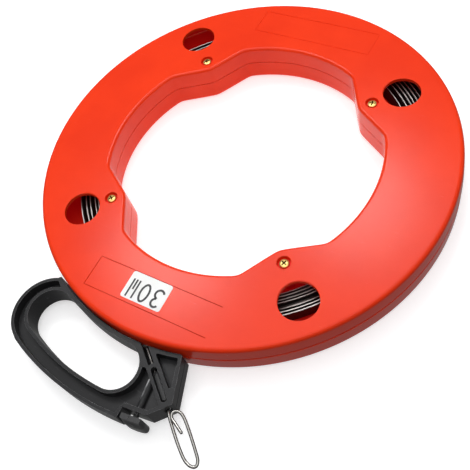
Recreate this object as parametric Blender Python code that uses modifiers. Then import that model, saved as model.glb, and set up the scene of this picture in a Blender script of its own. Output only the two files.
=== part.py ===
"""Fish tape reel: a ring case that holds 30 m of spring steel tape, with a grip that runs round the rim.

The reel lies on its back cover. The case axis is +Z and the grip points along -Y.
Every part hangs from the empty "reel_axis", which stands on the case axis, so all of the
coordinates below are measured from that axis and from the back face of the case.
"""
import math

import bmesh
import bpy
from mathutils import Matrix, Vector

MM = 0.001
GAP = 0.3 * MM

# Case: two half shells that are screwed together at four lobes of the bore
CASE_R = 150.0 * MM
BORE_R = 98.5 * MM
SEAM_Z = 15.2 * MM
WALL = 2.3 * MM
RIM_EDGE_R = 3.0 * MM
BORE_EDGE_R = 2.4 * MM
RIM_WALL_H = 10.0 * MM
RIM_DRAFT = 0.4 * MM
FACE_SLOPE = math.tan(math.radians(1.4))
RIM_SLOT = 1.4 * MM
LOBE_APEX_R = 86.4 * MM
LOBE_SLOPE = 0.257
LOBE_NOSE = 3.0 * MM
DIAGONALS = (45.0, 135.0, 225.0, 315.0)
WINDOW_R = 13.3 * MM
WINDOW_RADII = (119.5 * MM, 125.4 * MM, 119.5 * MM, 125.4 * MM)

# Case screws
SCREW_RING_R = 97.4 * MM
BOSS_R = 6.5 * MM
COUNTERBORE_R = 4.6 * MM
COUNTERBORE_FLOOR_Z = 26.4 * MM
SCREW_HEAD_R = 3.2 * MM
SCREW_HEAD_H = 2.0 * MM
SCREW_SHAFT_R = 1.5 * MM
SCREW_TIP_Z = 6.0 * MM

# Steel tape
COIL_INNER_R = 106.0 * MM
COIL_OUTER_R = 139.5 * MM
COIL_BOTTOM_Z = 2.8 * MM
COIL_TOP_Z = 19.5 * MM
TAPE_THICKNESS = 0.9 * MM
TAPE_WIDTH = 3.2 * MM
RIVET_R = 0.9 * MM
RIVET_Z = 7.6 * MM

# Length sticker on the front cover
LABEL_SIZE = (31.0 * MM, 19.3 * MM)
LABEL_CENTRE = (-4.0 * MM, -120.9 * MM)
LABEL_THICKNESS = 0.25 * MM

# Grip
GRIP_BACK_Z = 5.2 * MM
GRIP_FRONT_Z = 21.2 * MM
WEB_BACK_Z = 12.2 * MM
WEB_FRONT_Z = 14.2 * MM
GRIP_SADDLE_R = 151.0 * MM
GRIP_OUTER_R = 198.0 * MM
GRIP_RIB = 2.2 * MM
SADDLE_START = -118.2
SADDLE_END = -75.9
FINGER_MID_R = 169.85 * MM
FINGER_HALF = 16.0 * MM
FINGER_START = -111.6
FINGER_END = -89.9
LOOP_CENTRE_R = 171.5 * MM
LOOP_R = 26.0 * MM
LOOP_ANGLE = -111.8
NOSE_SHOULDER = (47.2 * MM, -175.4 * MM)
NOSE_TIP = (36.1 * MM, -187.2 * MM)
NOSE_LIP = 0.5 * MM

# Foot of the grip, which runs inside the rim slot
FOOT_STEM_T = 0.8 * MM
FOOT_FLANGE_R = (144.4 * MM, 146.9 * MM)
FOOT_FLANGE_H = 7.0 * MM
FOOT_SPANS = ((-117.0, -94.5), (-83.0, -77.5))

# Tape channel through the grip: a straight line from the rim to the nose
CHANNEL_START = (11.5 * MM, -151.3 * MM)
CHANNEL_ANGLE = math.radians(-39.6)
CHANNEL_FLOOR_Z = 12.9 * MM
ENTRY_SLOT = (-6.0 * MM, 13.4 * MM)
ENTRY_SLOT_W = 3.8 * MM
FERRULE_POCKET = (15.7 * MM, 39.5 * MM)
FERRULE_POCKET_SIDES = (-1.7 * MM, 2.5 * MM)
FERRULE_R = 1.35 * MM
FERRULE_SPAN = (17.4 * MM, 36.5 * MM)
EXIT_HOLE_R = 2.0 * MM
TAPE_PATH_Z = SEAM_Z
TAPE_END_START = 8.9 * MM

# Hook: one bent steel wire; its stations are along the channel, across it, and above its height
HOOK_WIRE_R = 1.0 * MM
HOOK_STATIONS = (
    (36.8, 0.0, 0.0), (41.0, 0.0, 0.0), (45.0, -0.6, 0.0), (52.0, -1.0, 0.0), (62.0, -1.2, 0.0),
    (69.0, -1.0, 0.0), (73.5, -0.6, 0.0), (76.5, 0.2, 0.0), (79.0, 1.6, 0.0), (80.4, 3.6, 0.1),
    (80.0, 5.4, 0.2), (78.0, 6.6, 0.3), (75.0, 7.1, 0.5), (66.0, 7.6, 1.2), (57.0, 7.8, 1.8),
    (52.0, 7.6, 2.1), (49.0, 6.9, 2.3), (47.0, 5.5, 2.3), (46.1, 3.6, 2.3), (46.5, 1.9, 2.3),
    (48.0, 1.0, 2.3), (50.0, 0.9, 2.3), (54.0, 1.9, 2.3), (60.6, 3.5, 2.3),
)

# Tape brake: button, rod and pad in a frame that is turned with the notch of the grip
BRAKE_TILT = math.radians(7.5)
NOTCH_WIDTH = 16.4 * MM
ROD_ACROSS = -8.2 * MM
ROD_R = 1.1 * MM
ROD_BORE_R = 1.4 * MM
ROD_TUBE_R = 2.2 * MM
ROD_TUBE_TOP = 21.0 * MM
ROD_SPAN = (-7.9 * MM, 18.4 * MM)
PAD_SPAN = (18.7 * MM, 19.9 * MM)
BUTTON_ACROSS = (-15.5 * MM, -2.1 * MM)
BUTTON_TOP = -3.6 * MM
BUTTON_FOOT = -6.8 * MM
THUMB_PROFILE = (
    (-15.0, -6.0), (-14.6, -7.6), (-12.8, -8.5), (-9.0, -8.8), (-5.0, -8.7), (-2.5, -8.3), (-1.2, -7.4), (-0.8, -6.0),
)
CLIP_WINDOW = (8.6 * MM, 12.4 * MM)
CLIP_SPAN = (9.1 * MM, 9.8 * MM)
CLIP_R = 1.75 * MM
CLIP_CHAMBER_R = 1.95 * MM
SPRING_R = 1.7 * MM
SPRING_WIRE_R = 0.25 * MM
SPRING_SPAN = (-1.1 * MM, -3.4 * MM)
SPRING_POCKET_R = 2.35 * MM
SPRING_POCKET_DEPTH = 2.6 * MM

# The reel's box is centred on the origin: the case reaches up to CASE_R, the hook down to here
HOOK_LOWEST = 201.6 * MM
REEL_AXIS_Y = (HOOK_LOWEST - CASE_R) / 2


# ---------------------------------------------------------------- scene and materials

def clear_scene():
    for item in list(bpy.data.objects):
        bpy.data.objects.remove(item, do_unlink=True)


def new_collection(name):
    collection = bpy.data.collections.new(name)
    bpy.context.scene.collection.children.link(collection)
    return collection


def new_material(name, colour, roughness, metallic=0.0):
    material = bpy.data.materials.new(name)
    material.use_nodes = True
    shader = material.node_tree.nodes["Principled BSDF"]
    shader.inputs["Base Color"].default_value = (*colour, 1.0)
    shader.inputs["Roughness"].default_value = roughness
    shader.inputs["Metallic"].default_value = metallic
    return material


clear_scene()
PARTS = new_collection("fish_tape_reel")
CUTTERS = new_collection("cutters")
RED = new_material("case_red", (0.86, 0.055, 0.02), 0.35)
BLACK = new_material("grip_black", (0.02, 0.02, 0.021), 0.5)
STEEL = new_material("tape_steel", (0.55, 0.55, 0.56), 0.3, 1.0)
BRASS = new_material("screw_brass", (0.75, 0.53, 0.2), 0.35, 1.0)
WHITE = new_material("label_white", (0.85, 0.85, 0.85), 0.4)
RUBBER = new_material("pad_rubber", (0.03, 0.03, 0.03), 0.8)

REEL_AXIS = bpy.data.objects.new("reel_axis", None)
PARTS.objects.link(REEL_AXIS)
REEL_AXIS.location = (0.0, REEL_AXIS_Y, 0.0)


# ---------------------------------------------------------------- modelling helpers

def polar(radius, degrees):
    angle = math.radians(degrees)
    return (radius * math.cos(angle), radius * math.sin(angle))


def arc(centre, radius, start, end, steps):
    """Points of an arc, from the start to the end angle in degrees."""
    points = []
    for index in range(steps + 1):
        x, y = polar(radius, start + (end - start) * index / steps)
        points.append((centre[0] + x, centre[1] + y))
    return points


def evaluated_mesh(item):
    bpy.context.view_layer.update()
    graph = bpy.context.evaluated_depsgraph_get()
    return bpy.data.meshes.new_from_object(item.evaluated_get(graph))


def as_mesh(item, weld=0.00001):
    """Replace a curve, or a mesh with modifiers, by its finished mesh."""
    name = item.name
    home = item.users_collection[0]
    mesh = evaluated_mesh(item)
    matrix = item.matrix_world.copy()
    bm = bmesh.new()
    bm.from_mesh(mesh)
    bmesh.ops.remove_doubles(bm, verts=bm.verts, dist=weld)
    bmesh.ops.recalc_face_normals(bm, faces=bm.faces)
    bm.to_mesh(mesh)
    bm.free()
    bpy.data.objects.remove(item, do_unlink=True)
    result = bpy.data.objects.new(name, mesh)
    result.matrix_world = matrix
    home.objects.link(result)
    return result


def object_from_bmesh(bm, name, collection):
    mesh = bpy.data.meshes.new(name)
    bmesh.ops.recalc_face_normals(bm, faces=bm.faces)
    bm.to_mesh(mesh)
    bm.free()
    item = bpy.data.objects.new(name, mesh)
    collection.objects.link(item)
    return item


def prism(name, outlines, bottom, top, collection=CUTTERS):
    """A flat outline, with holes for any further outlines, extruded between two heights."""
    curve = bpy.data.curves.new(name, "CURVE")
    curve.dimensions = "2D"
    curve.fill_mode = "BOTH"
    curve.extrude = (top - bottom) / 2
    for outline in outlines:
        spline = curve.splines.new("POLY")
        spline.points.add(len(outline) - 1)
        for point, (x, y) in zip(spline.points, outline):
            point.co = (x, y, 0.0, 1.0)
        spline.use_cyclic_u = True
    item = bpy.data.objects.new(name, curve)
    item.location.z = (top + bottom) / 2
    collection.objects.link(item)
    return as_mesh(item)


def cylinder(name, radius, start, end, segments=24, collection=CUTTERS):
    """A cylinder between two points."""
    start = Vector(start)
    end = Vector(end)
    bm = bmesh.new()
    bmesh.ops.create_cone(
        bm, cap_ends=True, segments=segments, radius1=radius, radius2=radius, depth=(end - start).length)
    item = object_from_bmesh(bm, name, collection)
    turn = Vector((0.0, 0.0, 1.0)).rotation_difference(end - start).to_matrix().to_4x4()
    item.matrix_world = Matrix.Translation((start + end) / 2) @ turn
    return item


def turned(name, profile, steps, collection=PARTS):
    """A (radius, height) profile turned round the reel axis; it is closed unless it starts on the axis."""
    mesh = bpy.data.meshes.new(name)
    edges = [(index, index + 1) for index in range(len(profile) - 1)]
    if profile[0][0] > 0.0:
        edges.append((len(profile) - 1, 0))
    mesh.from_pydata([(radius, 0.0, height) for radius, height in profile], edges, [])
    item = bpy.data.objects.new(name, mesh)
    collection.objects.link(item)
    screw = item.modifiers.new("turn", "SCREW")
    screw.steps = steps
    screw.render_steps = steps
    screw.use_merge_vertices = True
    screw.merge_threshold = 0.00001
    return as_mesh(item)


def wire(name, points, radius, resolution=2, collection=PARTS):
    """A round wire along a list of points."""
    curve = bpy.data.curves.new(name, "CURVE")
    curve.dimensions = "3D"
    curve.bevel_depth = radius
    curve.bevel_resolution = resolution
    curve.use_fill_caps = True
    spline = curve.splines.new("POLY")
    spline.points.add(len(points) - 1)
    for point, position in zip(spline.points, points):
        point.co = (*position, 1.0)
    item = bpy.data.objects.new(name, curve)
    collection.objects.link(item)
    return as_mesh(item)


def apply_boolean(item, cutters, operation):
    """Cut the cutters out of an item, or join them to it, and drop them."""
    for cutter in cutters:
        modifier = item.modifiers.new(operation.lower(), "BOOLEAN")
        modifier.operation = operation
        modifier.solver = "EXACT"
        modifier.object = cutter
    result = as_mesh(item, weld=0.000002)
    for cutter in cutters:
        bpy.data.objects.remove(cutter, do_unlink=True)
    return result


def cut(item, *cutters):
    return apply_boolean(item, cutters, "DIFFERENCE")


def join(item, *others):
    return apply_boolean(item, others, "UNION")


def finish(item, name, material, pivot=(0.0, 0.0, 0.0), smooth=35.0):
    """Name and colour a part, move its origin to a pivot and hang it from the reel axis."""
    item.name = name
    item.data.name = name
    pivot = Vector(pivot)
    item.data.transform(Matrix.Translation(-pivot) @ item.matrix_world)
    item.matrix_world = Matrix.Translation(pivot)
    item.data.materials.clear()
    item.data.materials.append(material)
    item.data.shade_smooth()
    item.data.set_sharp_from_angle(angle=math.radians(smooth))
    for collection in list(item.users_collection):
        collection.objects.unlink(item)
    PARTS.objects.link(item)
    item.parent = REEL_AXIS
    return item


# ---------------------------------------------------------------- case

def bore_radius(degrees):
    """Radius of the bore: a circle with a blunt V lobe on each diagonal, for turning the case by hand."""
    offset = math.radians(degrees % 90.0 - 45.0)
    radius = BORE_R
    for _ in range(6):
        across = radius * math.sin(offset)
        flank = LOBE_APEX_R + LOBE_SLOPE * math.hypot(across, LOBE_NOSE)
        radius = min(BORE_R, flank / math.cos(offset))
    return radius


def ring_angles():
    """Section angles: close together on the lobes, wide apart between them."""
    steps = (0.0, 1.5, 4.0, 9.0, 14.0, 16.6, 17.8, 22.0, 29.0, 37.0)
    angles = []
    for diagonal in DIAGONALS:
        angles.extend(diagonal + offset for offset in steps)
        angles.extend(diagonal - offset for offset in steps[1:])
        angles.append(diagonal + 45.0)
    return sorted(angle % 360.0 for angle in angles)


def face_height(radius):
    """Height of the front face, which rises gently from the rim to the bore."""
    return SEAM_Z + RIM_WALL_H + RIM_EDGE_R + (CASE_R - RIM_EDGE_R - radius) * FACE_SLOPE


def rounded_corner(centre, radius, start, end):
    return arc(centre, radius, start, end, 3)


def front_section(degrees):
    """(radius, height) outline of the front cover's wall at one angle."""
    bore = bore_radius(degrees)
    rim = CASE_R - RIM_DRAFT
    shoulder = SEAM_Z + RIM_WALL_H
    bore_top = face_height(bore + BORE_EDGE_R)
    inner_rim = CASE_R - RIM_DRAFT - WALL
    outline = [(CASE_R, SEAM_Z + RIM_SLOT / 2)]
    outline += rounded_corner((rim - RIM_EDGE_R, shoulder), RIM_EDGE_R, 0.0, 90.0)
    outline += rounded_corner((bore + BORE_EDGE_R, bore_top - BORE_EDGE_R), BORE_EDGE_R, 90.0, 180.0)
    outline += [
        (bore, SEAM_Z + GAP / 2),
        (bore + WALL, SEAM_Z + GAP / 2),
        (bore + WALL, bore_top - WALL - 0.6 * MM),
        (inner_rim, shoulder + RIM_EDGE_R - WALL),
        (CASE_R - WALL, SEAM_Z + RIM_SLOT / 2),
    ]
    return outline


def back_section(degrees):
    """(radius, height) outline of the back cover's wall at one angle."""
    bore = bore_radius(degrees)
    rim = CASE_R - RIM_DRAFT
    outline = [(CASE_R, SEAM_Z - RIM_SLOT / 2)]
    outline += rounded_corner((rim - RIM_EDGE_R, RIM_EDGE_R), RIM_EDGE_R, 0.0, -90.0)
    outline += rounded_corner((bore + BORE_EDGE_R, BORE_EDGE_R), BORE_EDGE_R, -90.0, -180.0)
    outline += [
        (bore, SEAM_Z - GAP / 2),
        (bore + WALL, SEAM_Z - GAP / 2),
        (bore + WALL, WALL),
        (rim - WALL, WALL),
        (CASE_R - WALL, SEAM_Z - RIM_SLOT / 2),
    ]
    return outline


def ring_shell(name, section):
    """Loft a wall section round the reel axis; its bore side follows the lobes."""
    bm = bmesh.new()
    rings = []
    for degrees in ring_angles():
        ring = []
        for radius, height in section(degrees):
            x, y = polar(radius, degrees)
            ring.append(bm.verts.new((x, y, height)))
        rings.append(ring)
    for index, ring in enumerate(rings):
        following = rings[(index + 1) % len(rings)]
        for side in range(len(ring)):
            other = (side + 1) % len(ring)
            bm.faces.new((ring[side], ring[other], following[other], following[side]))
    return object_from_bmesh(bm, name, CUTTERS)


def make_front_cover():
    cover = ring_shell("front_cover", front_section)
    bosses = []
    holes = []
    for index, diagonal in enumerate(DIAGONALS):
        x, y = polar(SCREW_RING_R, diagonal)
        top = face_height(SCREW_RING_R + BOSS_R) - 0.8 * MM
        bosses.append(cylinder(f"boss_{index}", BOSS_R, (x, y, SEAM_Z + GAP / 2), (x, y, top)))
        holes.append(cylinder(f"head_hole_{index}", COUNTERBORE_R, (x, y, COUNTERBORE_FLOOR_Z), (x, y, 0.04)))
        holes.append(cylinder(f"shaft_hole_{index}", SCREW_SHAFT_R + GAP, (x, y, 0.01), (x, y, 0.04), 16))
        x, y = polar(WINDOW_RADII[index], diagonal)
        holes.append(cylinder(f"window_{index}", WINDOW_R, (x, y, SEAM_Z + 0.005), (x, y, 0.04), 40))
    finish(cut(join(cover, *bosses), *holes), "front_cover", RED)


def make_back_cover():
    cover = ring_shell("back_cover", back_section)
    bosses = []
    holes = []
    for index, diagonal in enumerate(DIAGONALS):
        x, y = polar(SCREW_RING_R, diagonal)
        bosses.append(cylinder(f"boss_{index}", BOSS_R - 2 * MM, (x, y, WALL / 2), (x, y, SEAM_Z - GAP / 2)))
        pilot_floor = SCREW_TIP_Z - GAP
        holes.append(cylinder(f"pilot_{index}", SCREW_SHAFT_R + GAP, (x, y, pilot_floor), (x, y, 0.04), 16))
    finish(cut(join(cover, *bosses), *holes), "back_cover", RED)


def make_case_screw(index, diagonal):
    """Pan head screw with a cross recess."""
    x, y = polar(SCREW_RING_R, diagonal)
    seat = COUNTERBORE_FLOOR_Z + GAP
    top = seat + SCREW_HEAD_H
    profile = [
        (0.0, SCREW_TIP_Z),
        (SCREW_SHAFT_R, SCREW_TIP_Z + SCREW_SHAFT_R),
        (SCREW_SHAFT_R, seat),
        (SCREW_HEAD_R, seat),
        (SCREW_HEAD_R, seat + 0.5 * SCREW_HEAD_H),
        (0.8 * SCREW_HEAD_R, seat + 0.85 * SCREW_HEAD_H),
        (0.4 * SCREW_HEAD_R, top),
        (0.0, top),
    ]
    screw = turned("screw", profile, 16, CUTTERS)
    recess = []
    for size in ((3.4 * MM, 0.8 * MM), (0.8 * MM, 3.4 * MM)):
        half_x = size[0] / 2
        half_y = size[1] / 2
        slot = [(-half_x, -half_y), (half_x, -half_y), (half_x, half_y), (-half_x, half_y)]
        recess.append(prism("slot", [slot], top - 1.0 * MM, top + 1.0 * MM))
    screw = cut(screw, join(recess[0], recess[1]))
    turn = Matrix.Rotation(math.radians(20.0 * index + 10.0), 4, "Z")
    screw.matrix_world = Matrix.Translation((x, y, 0.0)) @ turn
    finish(screw, f"case_screw_{index + 1}", BRASS, pivot=(x, y, top))


# ---------------------------------------------------------------- tape inside the case

def make_tape_coil():
    """The wound tape as one plain ring."""
    chamfer = 1.5 * MM
    profile = [
        (COIL_OUTER_R, COIL_TOP_Z - chamfer),
        (COIL_OUTER_R, COIL_BOTTOM_Z + chamfer),
        (COIL_OUTER_R - chamfer, COIL_BOTTOM_Z),
        (COIL_INNER_R + chamfer, COIL_BOTTOM_Z),
        (COIL_INNER_R, COIL_BOTTOM_Z + chamfer),
        (COIL_INNER_R, COIL_TOP_Z - chamfer),
        (COIL_INNER_R + chamfer, COIL_TOP_Z),
        (COIL_OUTER_R - chamfer, COIL_TOP_Z),
    ]
    finish(turned("tape_coil", profile, 60), "tape_coil", STEEL)


def make_tape_anchor():
    """Clamp on the bore wall that holds the inner end of the tape."""
    inner = BORE_R + WALL + GAP
    outer = COIL_INNER_R - 0.6 * MM
    half = 5.0 * MM
    block = [(inner, -half), (outer, -half), (outer, half), (inner, half)]
    slot_x = outer - 1.9 * MM
    slot = [(slot_x, -2 * half), (slot_x + 1.3 * MM, -2 * half), (slot_x + 1.3 * MM, 2 * half), (slot_x, 2 * half)]
    anchor = prism("tape_anchor", [block], WALL + GAP, WALL + 9 * MM)
    mouth = prism("tape_anchor_slot", [slot], WALL + 3 * MM, WALL + 12 * MM)
    hole = cylinder("rivet_hole", RIVET_R + GAP, (inner - MM, 0.0, RIVET_Z), (outer + MM, 0.0, RIVET_Z), 16)
    finish(cut(anchor, mouth, hole), "tape_anchor", STEEL)


def make_anchor_rivet():
    """Rivet that crosses the clamp and the end of the tape."""
    start = BORE_R + WALL + 2 * GAP
    end = COIL_INNER_R - 0.7 * MM
    rivet = cylinder("anchor_rivet", RIVET_R, (start, 0.0, RIVET_Z), (end, 0.0, RIVET_Z), 16)
    finish(rivet, "anchor_rivet", STEEL)


def channel_point(along, across=0.0):
    """A point of the tape channel: along it from the rim, across it to the left of the pull."""
    ux = math.cos(CHANNEL_ANGLE)
    uy = math.sin(CHANNEL_ANGLE)
    return (CHANNEL_START[0] + along * ux - across * uy, CHANNEL_START[1] + along * uy + across * ux)


def ribbon(name, path, tilts):
    """A flat steel ribbon along a level path; tilt 0 stands on edge and 90 lies flat."""
    bm = bmesh.new()
    rings = []
    for index, (x, y) in enumerate(path):
        before = path[max(index - 1, 0)]
        after = path[min(index + 1, len(path) - 1)]
        heading = math.atan2(after[1] - before[1], after[0] - before[0])
        side = Vector((-math.sin(heading), math.cos(heading), 0.0))
        up = Vector((0.0, 0.0, 1.0))
        turn = math.radians(tilts[index])
        wide = up * math.cos(turn) + side * math.sin(turn)
        thin = side * math.cos(turn) - up * math.sin(turn)
        centre = Vector((x, y, TAPE_PATH_Z))
        ring = []
        for a, b in ((-1, -1), (1, -1), (1, 1), (-1, 1)):
            corner = centre + wide * (a * TAPE_WIDTH / 2) + thin * (b * TAPE_THICKNESS / 2)
            ring.append(bm.verts.new(corner))
        rings.append(ring)
    for ring, following in zip(rings, rings[1:]):
        for side in range(4):
            other = (side + 1) % 4
            bm.faces.new((ring[side], ring[other], following[other], following[side]))
    bm.faces.new(rings[0])
    bm.faces.new(rings[-1])
    return object_from_bmesh(bm, name, CUTTERS)


def lead_path():
    """Route of the tape from the coil's outer turn, through the rim slot, into the grip."""
    arc_r = COIL_OUTER_R + 2.2 * MM
    path = arc((0.0, 0.0), arc_r, -140.0, -97.0, 10)
    start = Vector(path[-1])
    end = Vector(channel_point(-8.0 * MM))
    leave = Vector((-math.sin(math.radians(-97.0)), math.cos(math.radians(-97.0))))
    arrive = Vector((math.cos(CHANNEL_ANGLE), math.sin(CHANNEL_ANGLE)))
    first = start + leave * 8.0 * MM
    second = end - arrive * 8.0 * MM
    for index in range(1, 11):
        t = index / 10
        s = 1.0 - t
        point = s ** 3 * start + 3 * s * s * t * first + 3 * s * t * t * second + t ** 3 * end
        path.append(tuple(point))
    for along in (-6.0, -4.0, -2.0, 0.0, 1.5, 3.0, 4.5, 6.0, 7.5, 8.6):
        path.append(channel_point(along * MM))
    return path


def make_tape_lead():
    """Tape between the coil and the grip: it turns flat to pass the rim slot and stands up again."""
    path = lead_path()
    tilts = []
    for index in range(len(path)):
        if index <= 14:
            tilts.append(0.0)
        elif index <= 20:
            tilts.append(90.0 * (index - 14) / 6)
        elif index <= 24:
            tilts.append(90.0)
        else:
            tilts.append(max(0.0, 90.0 * (30 - index) / 6))
    finish(ribbon("tape_lead", path, tilts), "tape_lead", STEEL)


# ---------------------------------------------------------------- grip

def brake_point(across, along):
    """A point of the brake frame: across the notch, and along the press direction, from the nose tip."""
    ex = (math.cos(BRAKE_TILT), math.sin(BRAKE_TILT))
    ey = (-math.sin(BRAKE_TILT), math.cos(BRAKE_TILT))
    return (NOSE_TIP[0] + across * ex[0] + along * ey[0], NOSE_TIP[1] + across * ex[1] + along * ey[1])


def brake_point_3d(across, along, height=TAPE_PATH_Z):
    x, y = brake_point(across, along)
    return (x, y, height)


def grip_outline():
    """Outer outline of the grip."""
    loop_centre = polar(LOOP_CENTRE_R, LOOP_ANGLE)
    notch_top = brake_point(-NOTCH_WIDTH, -NOSE_LIP)
    notch_angle = -84.2
    outline = arc((0.0, 0.0), GRIP_SADDLE_R, SADDLE_START, SADDLE_END, 10)
    outline.append(NOSE_SHOULDER)
    outline.append(brake_point(0.2 * MM, -NOSE_LIP))
    outline.append(notch_top)
    outline += arc((0.0, 0.0), GRIP_OUTER_R, notch_angle, LOOP_ANGLE, 7)
    outline += arc(loop_centre, LOOP_R, LOOP_ANGLE + 352.0, 110.0, 13)
    return outline


def finger_outline(margin=0.0):
    """Curved slot for four fingers."""
    left = polar(FINGER_MID_R, FINGER_START)
    right = polar(FINGER_MID_R, FINGER_END)
    half = FINGER_HALF + margin
    outline = arc((0.0, 0.0), FINGER_MID_R - half, FINGER_START, FINGER_END, 6)
    outline += arc(right, half, FINGER_END + 180.0, FINGER_END, 10)[1:]
    outline += arc((0.0, 0.0), FINGER_MID_R + half, FINGER_END, FINGER_START, 6)[1:]
    outline += arc(left, half, FINGER_START, FINGER_START - 180.0, 10)[1:-1]
    return outline


def long_pocket():
    """Recess that runs from the loop along the grip and past the rod tube to the nose."""
    loop_centre = polar(LOOP_CENTRE_R, LOOP_ANGLE)
    finger_left = polar(FINGER_MID_R, FINGER_START)
    finger_right = polar(FINGER_MID_R, FINGER_END)
    inner = FINGER_HALF + GRIP_RIB
    outline = arc(loop_centre, LOOP_R - GRIP_RIB, 108.0, LOOP_ANGLE + 360.0, 12)
    outline += arc((0.0, 0.0), GRIP_OUTER_R - GRIP_RIB, LOOP_ANGLE + 1.0, -84.9, 7)
    outline.append(brake_point(-NOTCH_WIDTH - 0.1 * MM, GRIP_RIB))
    outline.append(brake_point(-0.2 * MM, GRIP_RIB))
    outline.append(channel_point(40.3 * MM, -3.3 * MM))
    outline.append(channel_point(14.0 * MM, -3.7 * MM))
    outline += arc(finger_right, inner, 20.0, FINGER_END, 8)
    outline += arc((0.0, 0.0), FINGER_MID_R + inner, FINGER_END - 1.0, FINGER_START + 1.0, 5)
    outline += arc(finger_left, inner, FINGER_START + 360.0, 102.0, 10)
    return outline


def side_pocket():
    """Triangular recess beside the tape channel."""
    return [(20.3 * MM, -152.5 * MM), (42.3 * MM, -170.3 * MM), (35.5 * MM, -149.3 * MM)]


def channel_box(name, span, width, bottom, top):
    half = width / 2
    corners = [
        channel_point(span[0], -half),
        channel_point(span[1], -half),
        channel_point(span[1], half),
        channel_point(span[0], half),
    ]
    return prism(name, [corners], bottom, top)


def ferrule_pocket():
    """Slot with a round inner end, in which the ferrule lies."""
    low, high = FERRULE_POCKET_SIDES
    half = (high - low) / 2
    start, end = FERRULE_POCKET
    heading = math.degrees(CHANNEL_ANGLE)
    outline = arc(channel_point(start + half, (low + high) / 2), half, heading + 90.0, heading + 270.0, 6)
    outline += [channel_point(end, low), channel_point(end, high)]
    return prism("ferrule_pocket", [outline], CHANNEL_FLOOR_Z, GRIP_FRONT_Z + MM)


def ring_band(name, radii, span, bottom, top):
    """A band round the reel axis between two radii, two angles and two heights."""
    steps = max(2, round(abs(span[1] - span[0]) / 4.0))
    outline = arc((0.0, 0.0), radii[0], span[0], span[1], steps)
    outline += arc((0.0, 0.0), radii[1], span[1], span[0], steps)
    return prism(name, [outline], bottom, top)


def make_grip():
    body = prism("grip", [grip_outline(), finger_outline()], GRIP_BACK_Z, GRIP_FRONT_Z)
    pockets = []
    for number, outline in enumerate((long_pocket(), side_pocket())):
        pockets.append(prism(f"front_pocket_{number}", [outline], WEB_FRONT_Z, GRIP_FRONT_Z + MM))
        pockets.append(prism(f"back_pocket_{number}", [outline], GRIP_BACK_Z - MM, WEB_BACK_Z))
    body = cut(body, *pockets)

    additions = [
        cylinder("rod_tube", ROD_TUBE_R, brake_point_3d(ROD_ACROSS, MM), brake_point_3d(ROD_ACROSS, ROD_TUBE_TOP)),
    ]
    for number, span in enumerate(FOOT_SPANS):
        stem = (SEAM_Z - FOOT_STEM_T / 2, SEAM_Z + FOOT_STEM_T / 2)
        flange = (SEAM_Z - FOOT_FLANGE_H / 2, SEAM_Z + FOOT_FLANGE_H / 2)
        stem_radii = (FOOT_FLANGE_R[0] + MM, GRIP_SADDLE_R + MM)
        stem_span = (span[0] + 0.5, span[1] - 0.5)
        additions.append(ring_band(f"foot_stem_{number}", stem_radii, stem_span, *stem))
        additions.append(ring_band(f"foot_flange_{number}", FOOT_FLANGE_R, span, *flange))
    for addition in additions:
        body = join(body, addition)

    exit_start = (*channel_point(FERRULE_POCKET[1] - 2 * MM), TAPE_PATH_Z)
    exit_end = (*channel_point(FERRULE_POCKET[1] + 8 * MM), TAPE_PATH_Z)
    bore_end = brake_point_3d(ROD_ACROSS, ROD_TUBE_TOP + 3.0 * MM)
    chamber_ends = (brake_point_3d(ROD_ACROSS, CLIP_WINDOW[0]), brake_point_3d(ROD_ACROSS, CLIP_WINDOW[1]))
    window = [
        brake_point(ROD_ACROSS - CLIP_CHAMBER_R, CLIP_WINDOW[0]),
        brake_point(ROD_ACROSS + CLIP_CHAMBER_R, CLIP_WINDOW[0]),
        brake_point(ROD_ACROSS + CLIP_CHAMBER_R, CLIP_WINDOW[1]),
        brake_point(ROD_ACROSS - CLIP_CHAMBER_R, CLIP_WINDOW[1]),
    ]
    tape_gate = (TAPE_PATH_Z - TAPE_WIDTH / 2 - 0.4 * MM, TAPE_PATH_Z + TAPE_WIDTH / 2 + 0.4 * MM)
    body = cut(
        body,
        channel_box("entry_slot", ENTRY_SLOT, ENTRY_SLOT_W, CHANNEL_FLOOR_Z, GRIP_FRONT_Z + MM),
        ferrule_pocket(),
        channel_box("tape_gate", (12.0 * MM, 17.5 * MM), 1.8 * MM, *tape_gate),
        cylinder("exit_hole", EXIT_HOLE_R, exit_start, exit_end, 16),
        cylinder("rod_bore", ROD_BORE_R, brake_point_3d(ROD_ACROSS, -2 * MM), bore_end, 16),
        join(
            prism("clip_window", [window], GRIP_BACK_Z - MM, TAPE_PATH_Z),
            cylinder("clip_chamber", CLIP_CHAMBER_R, *chamber_ends, 20)),
    )
    finish(body, "grip", BLACK)


# ---------------------------------------------------------------- tape brake

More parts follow.
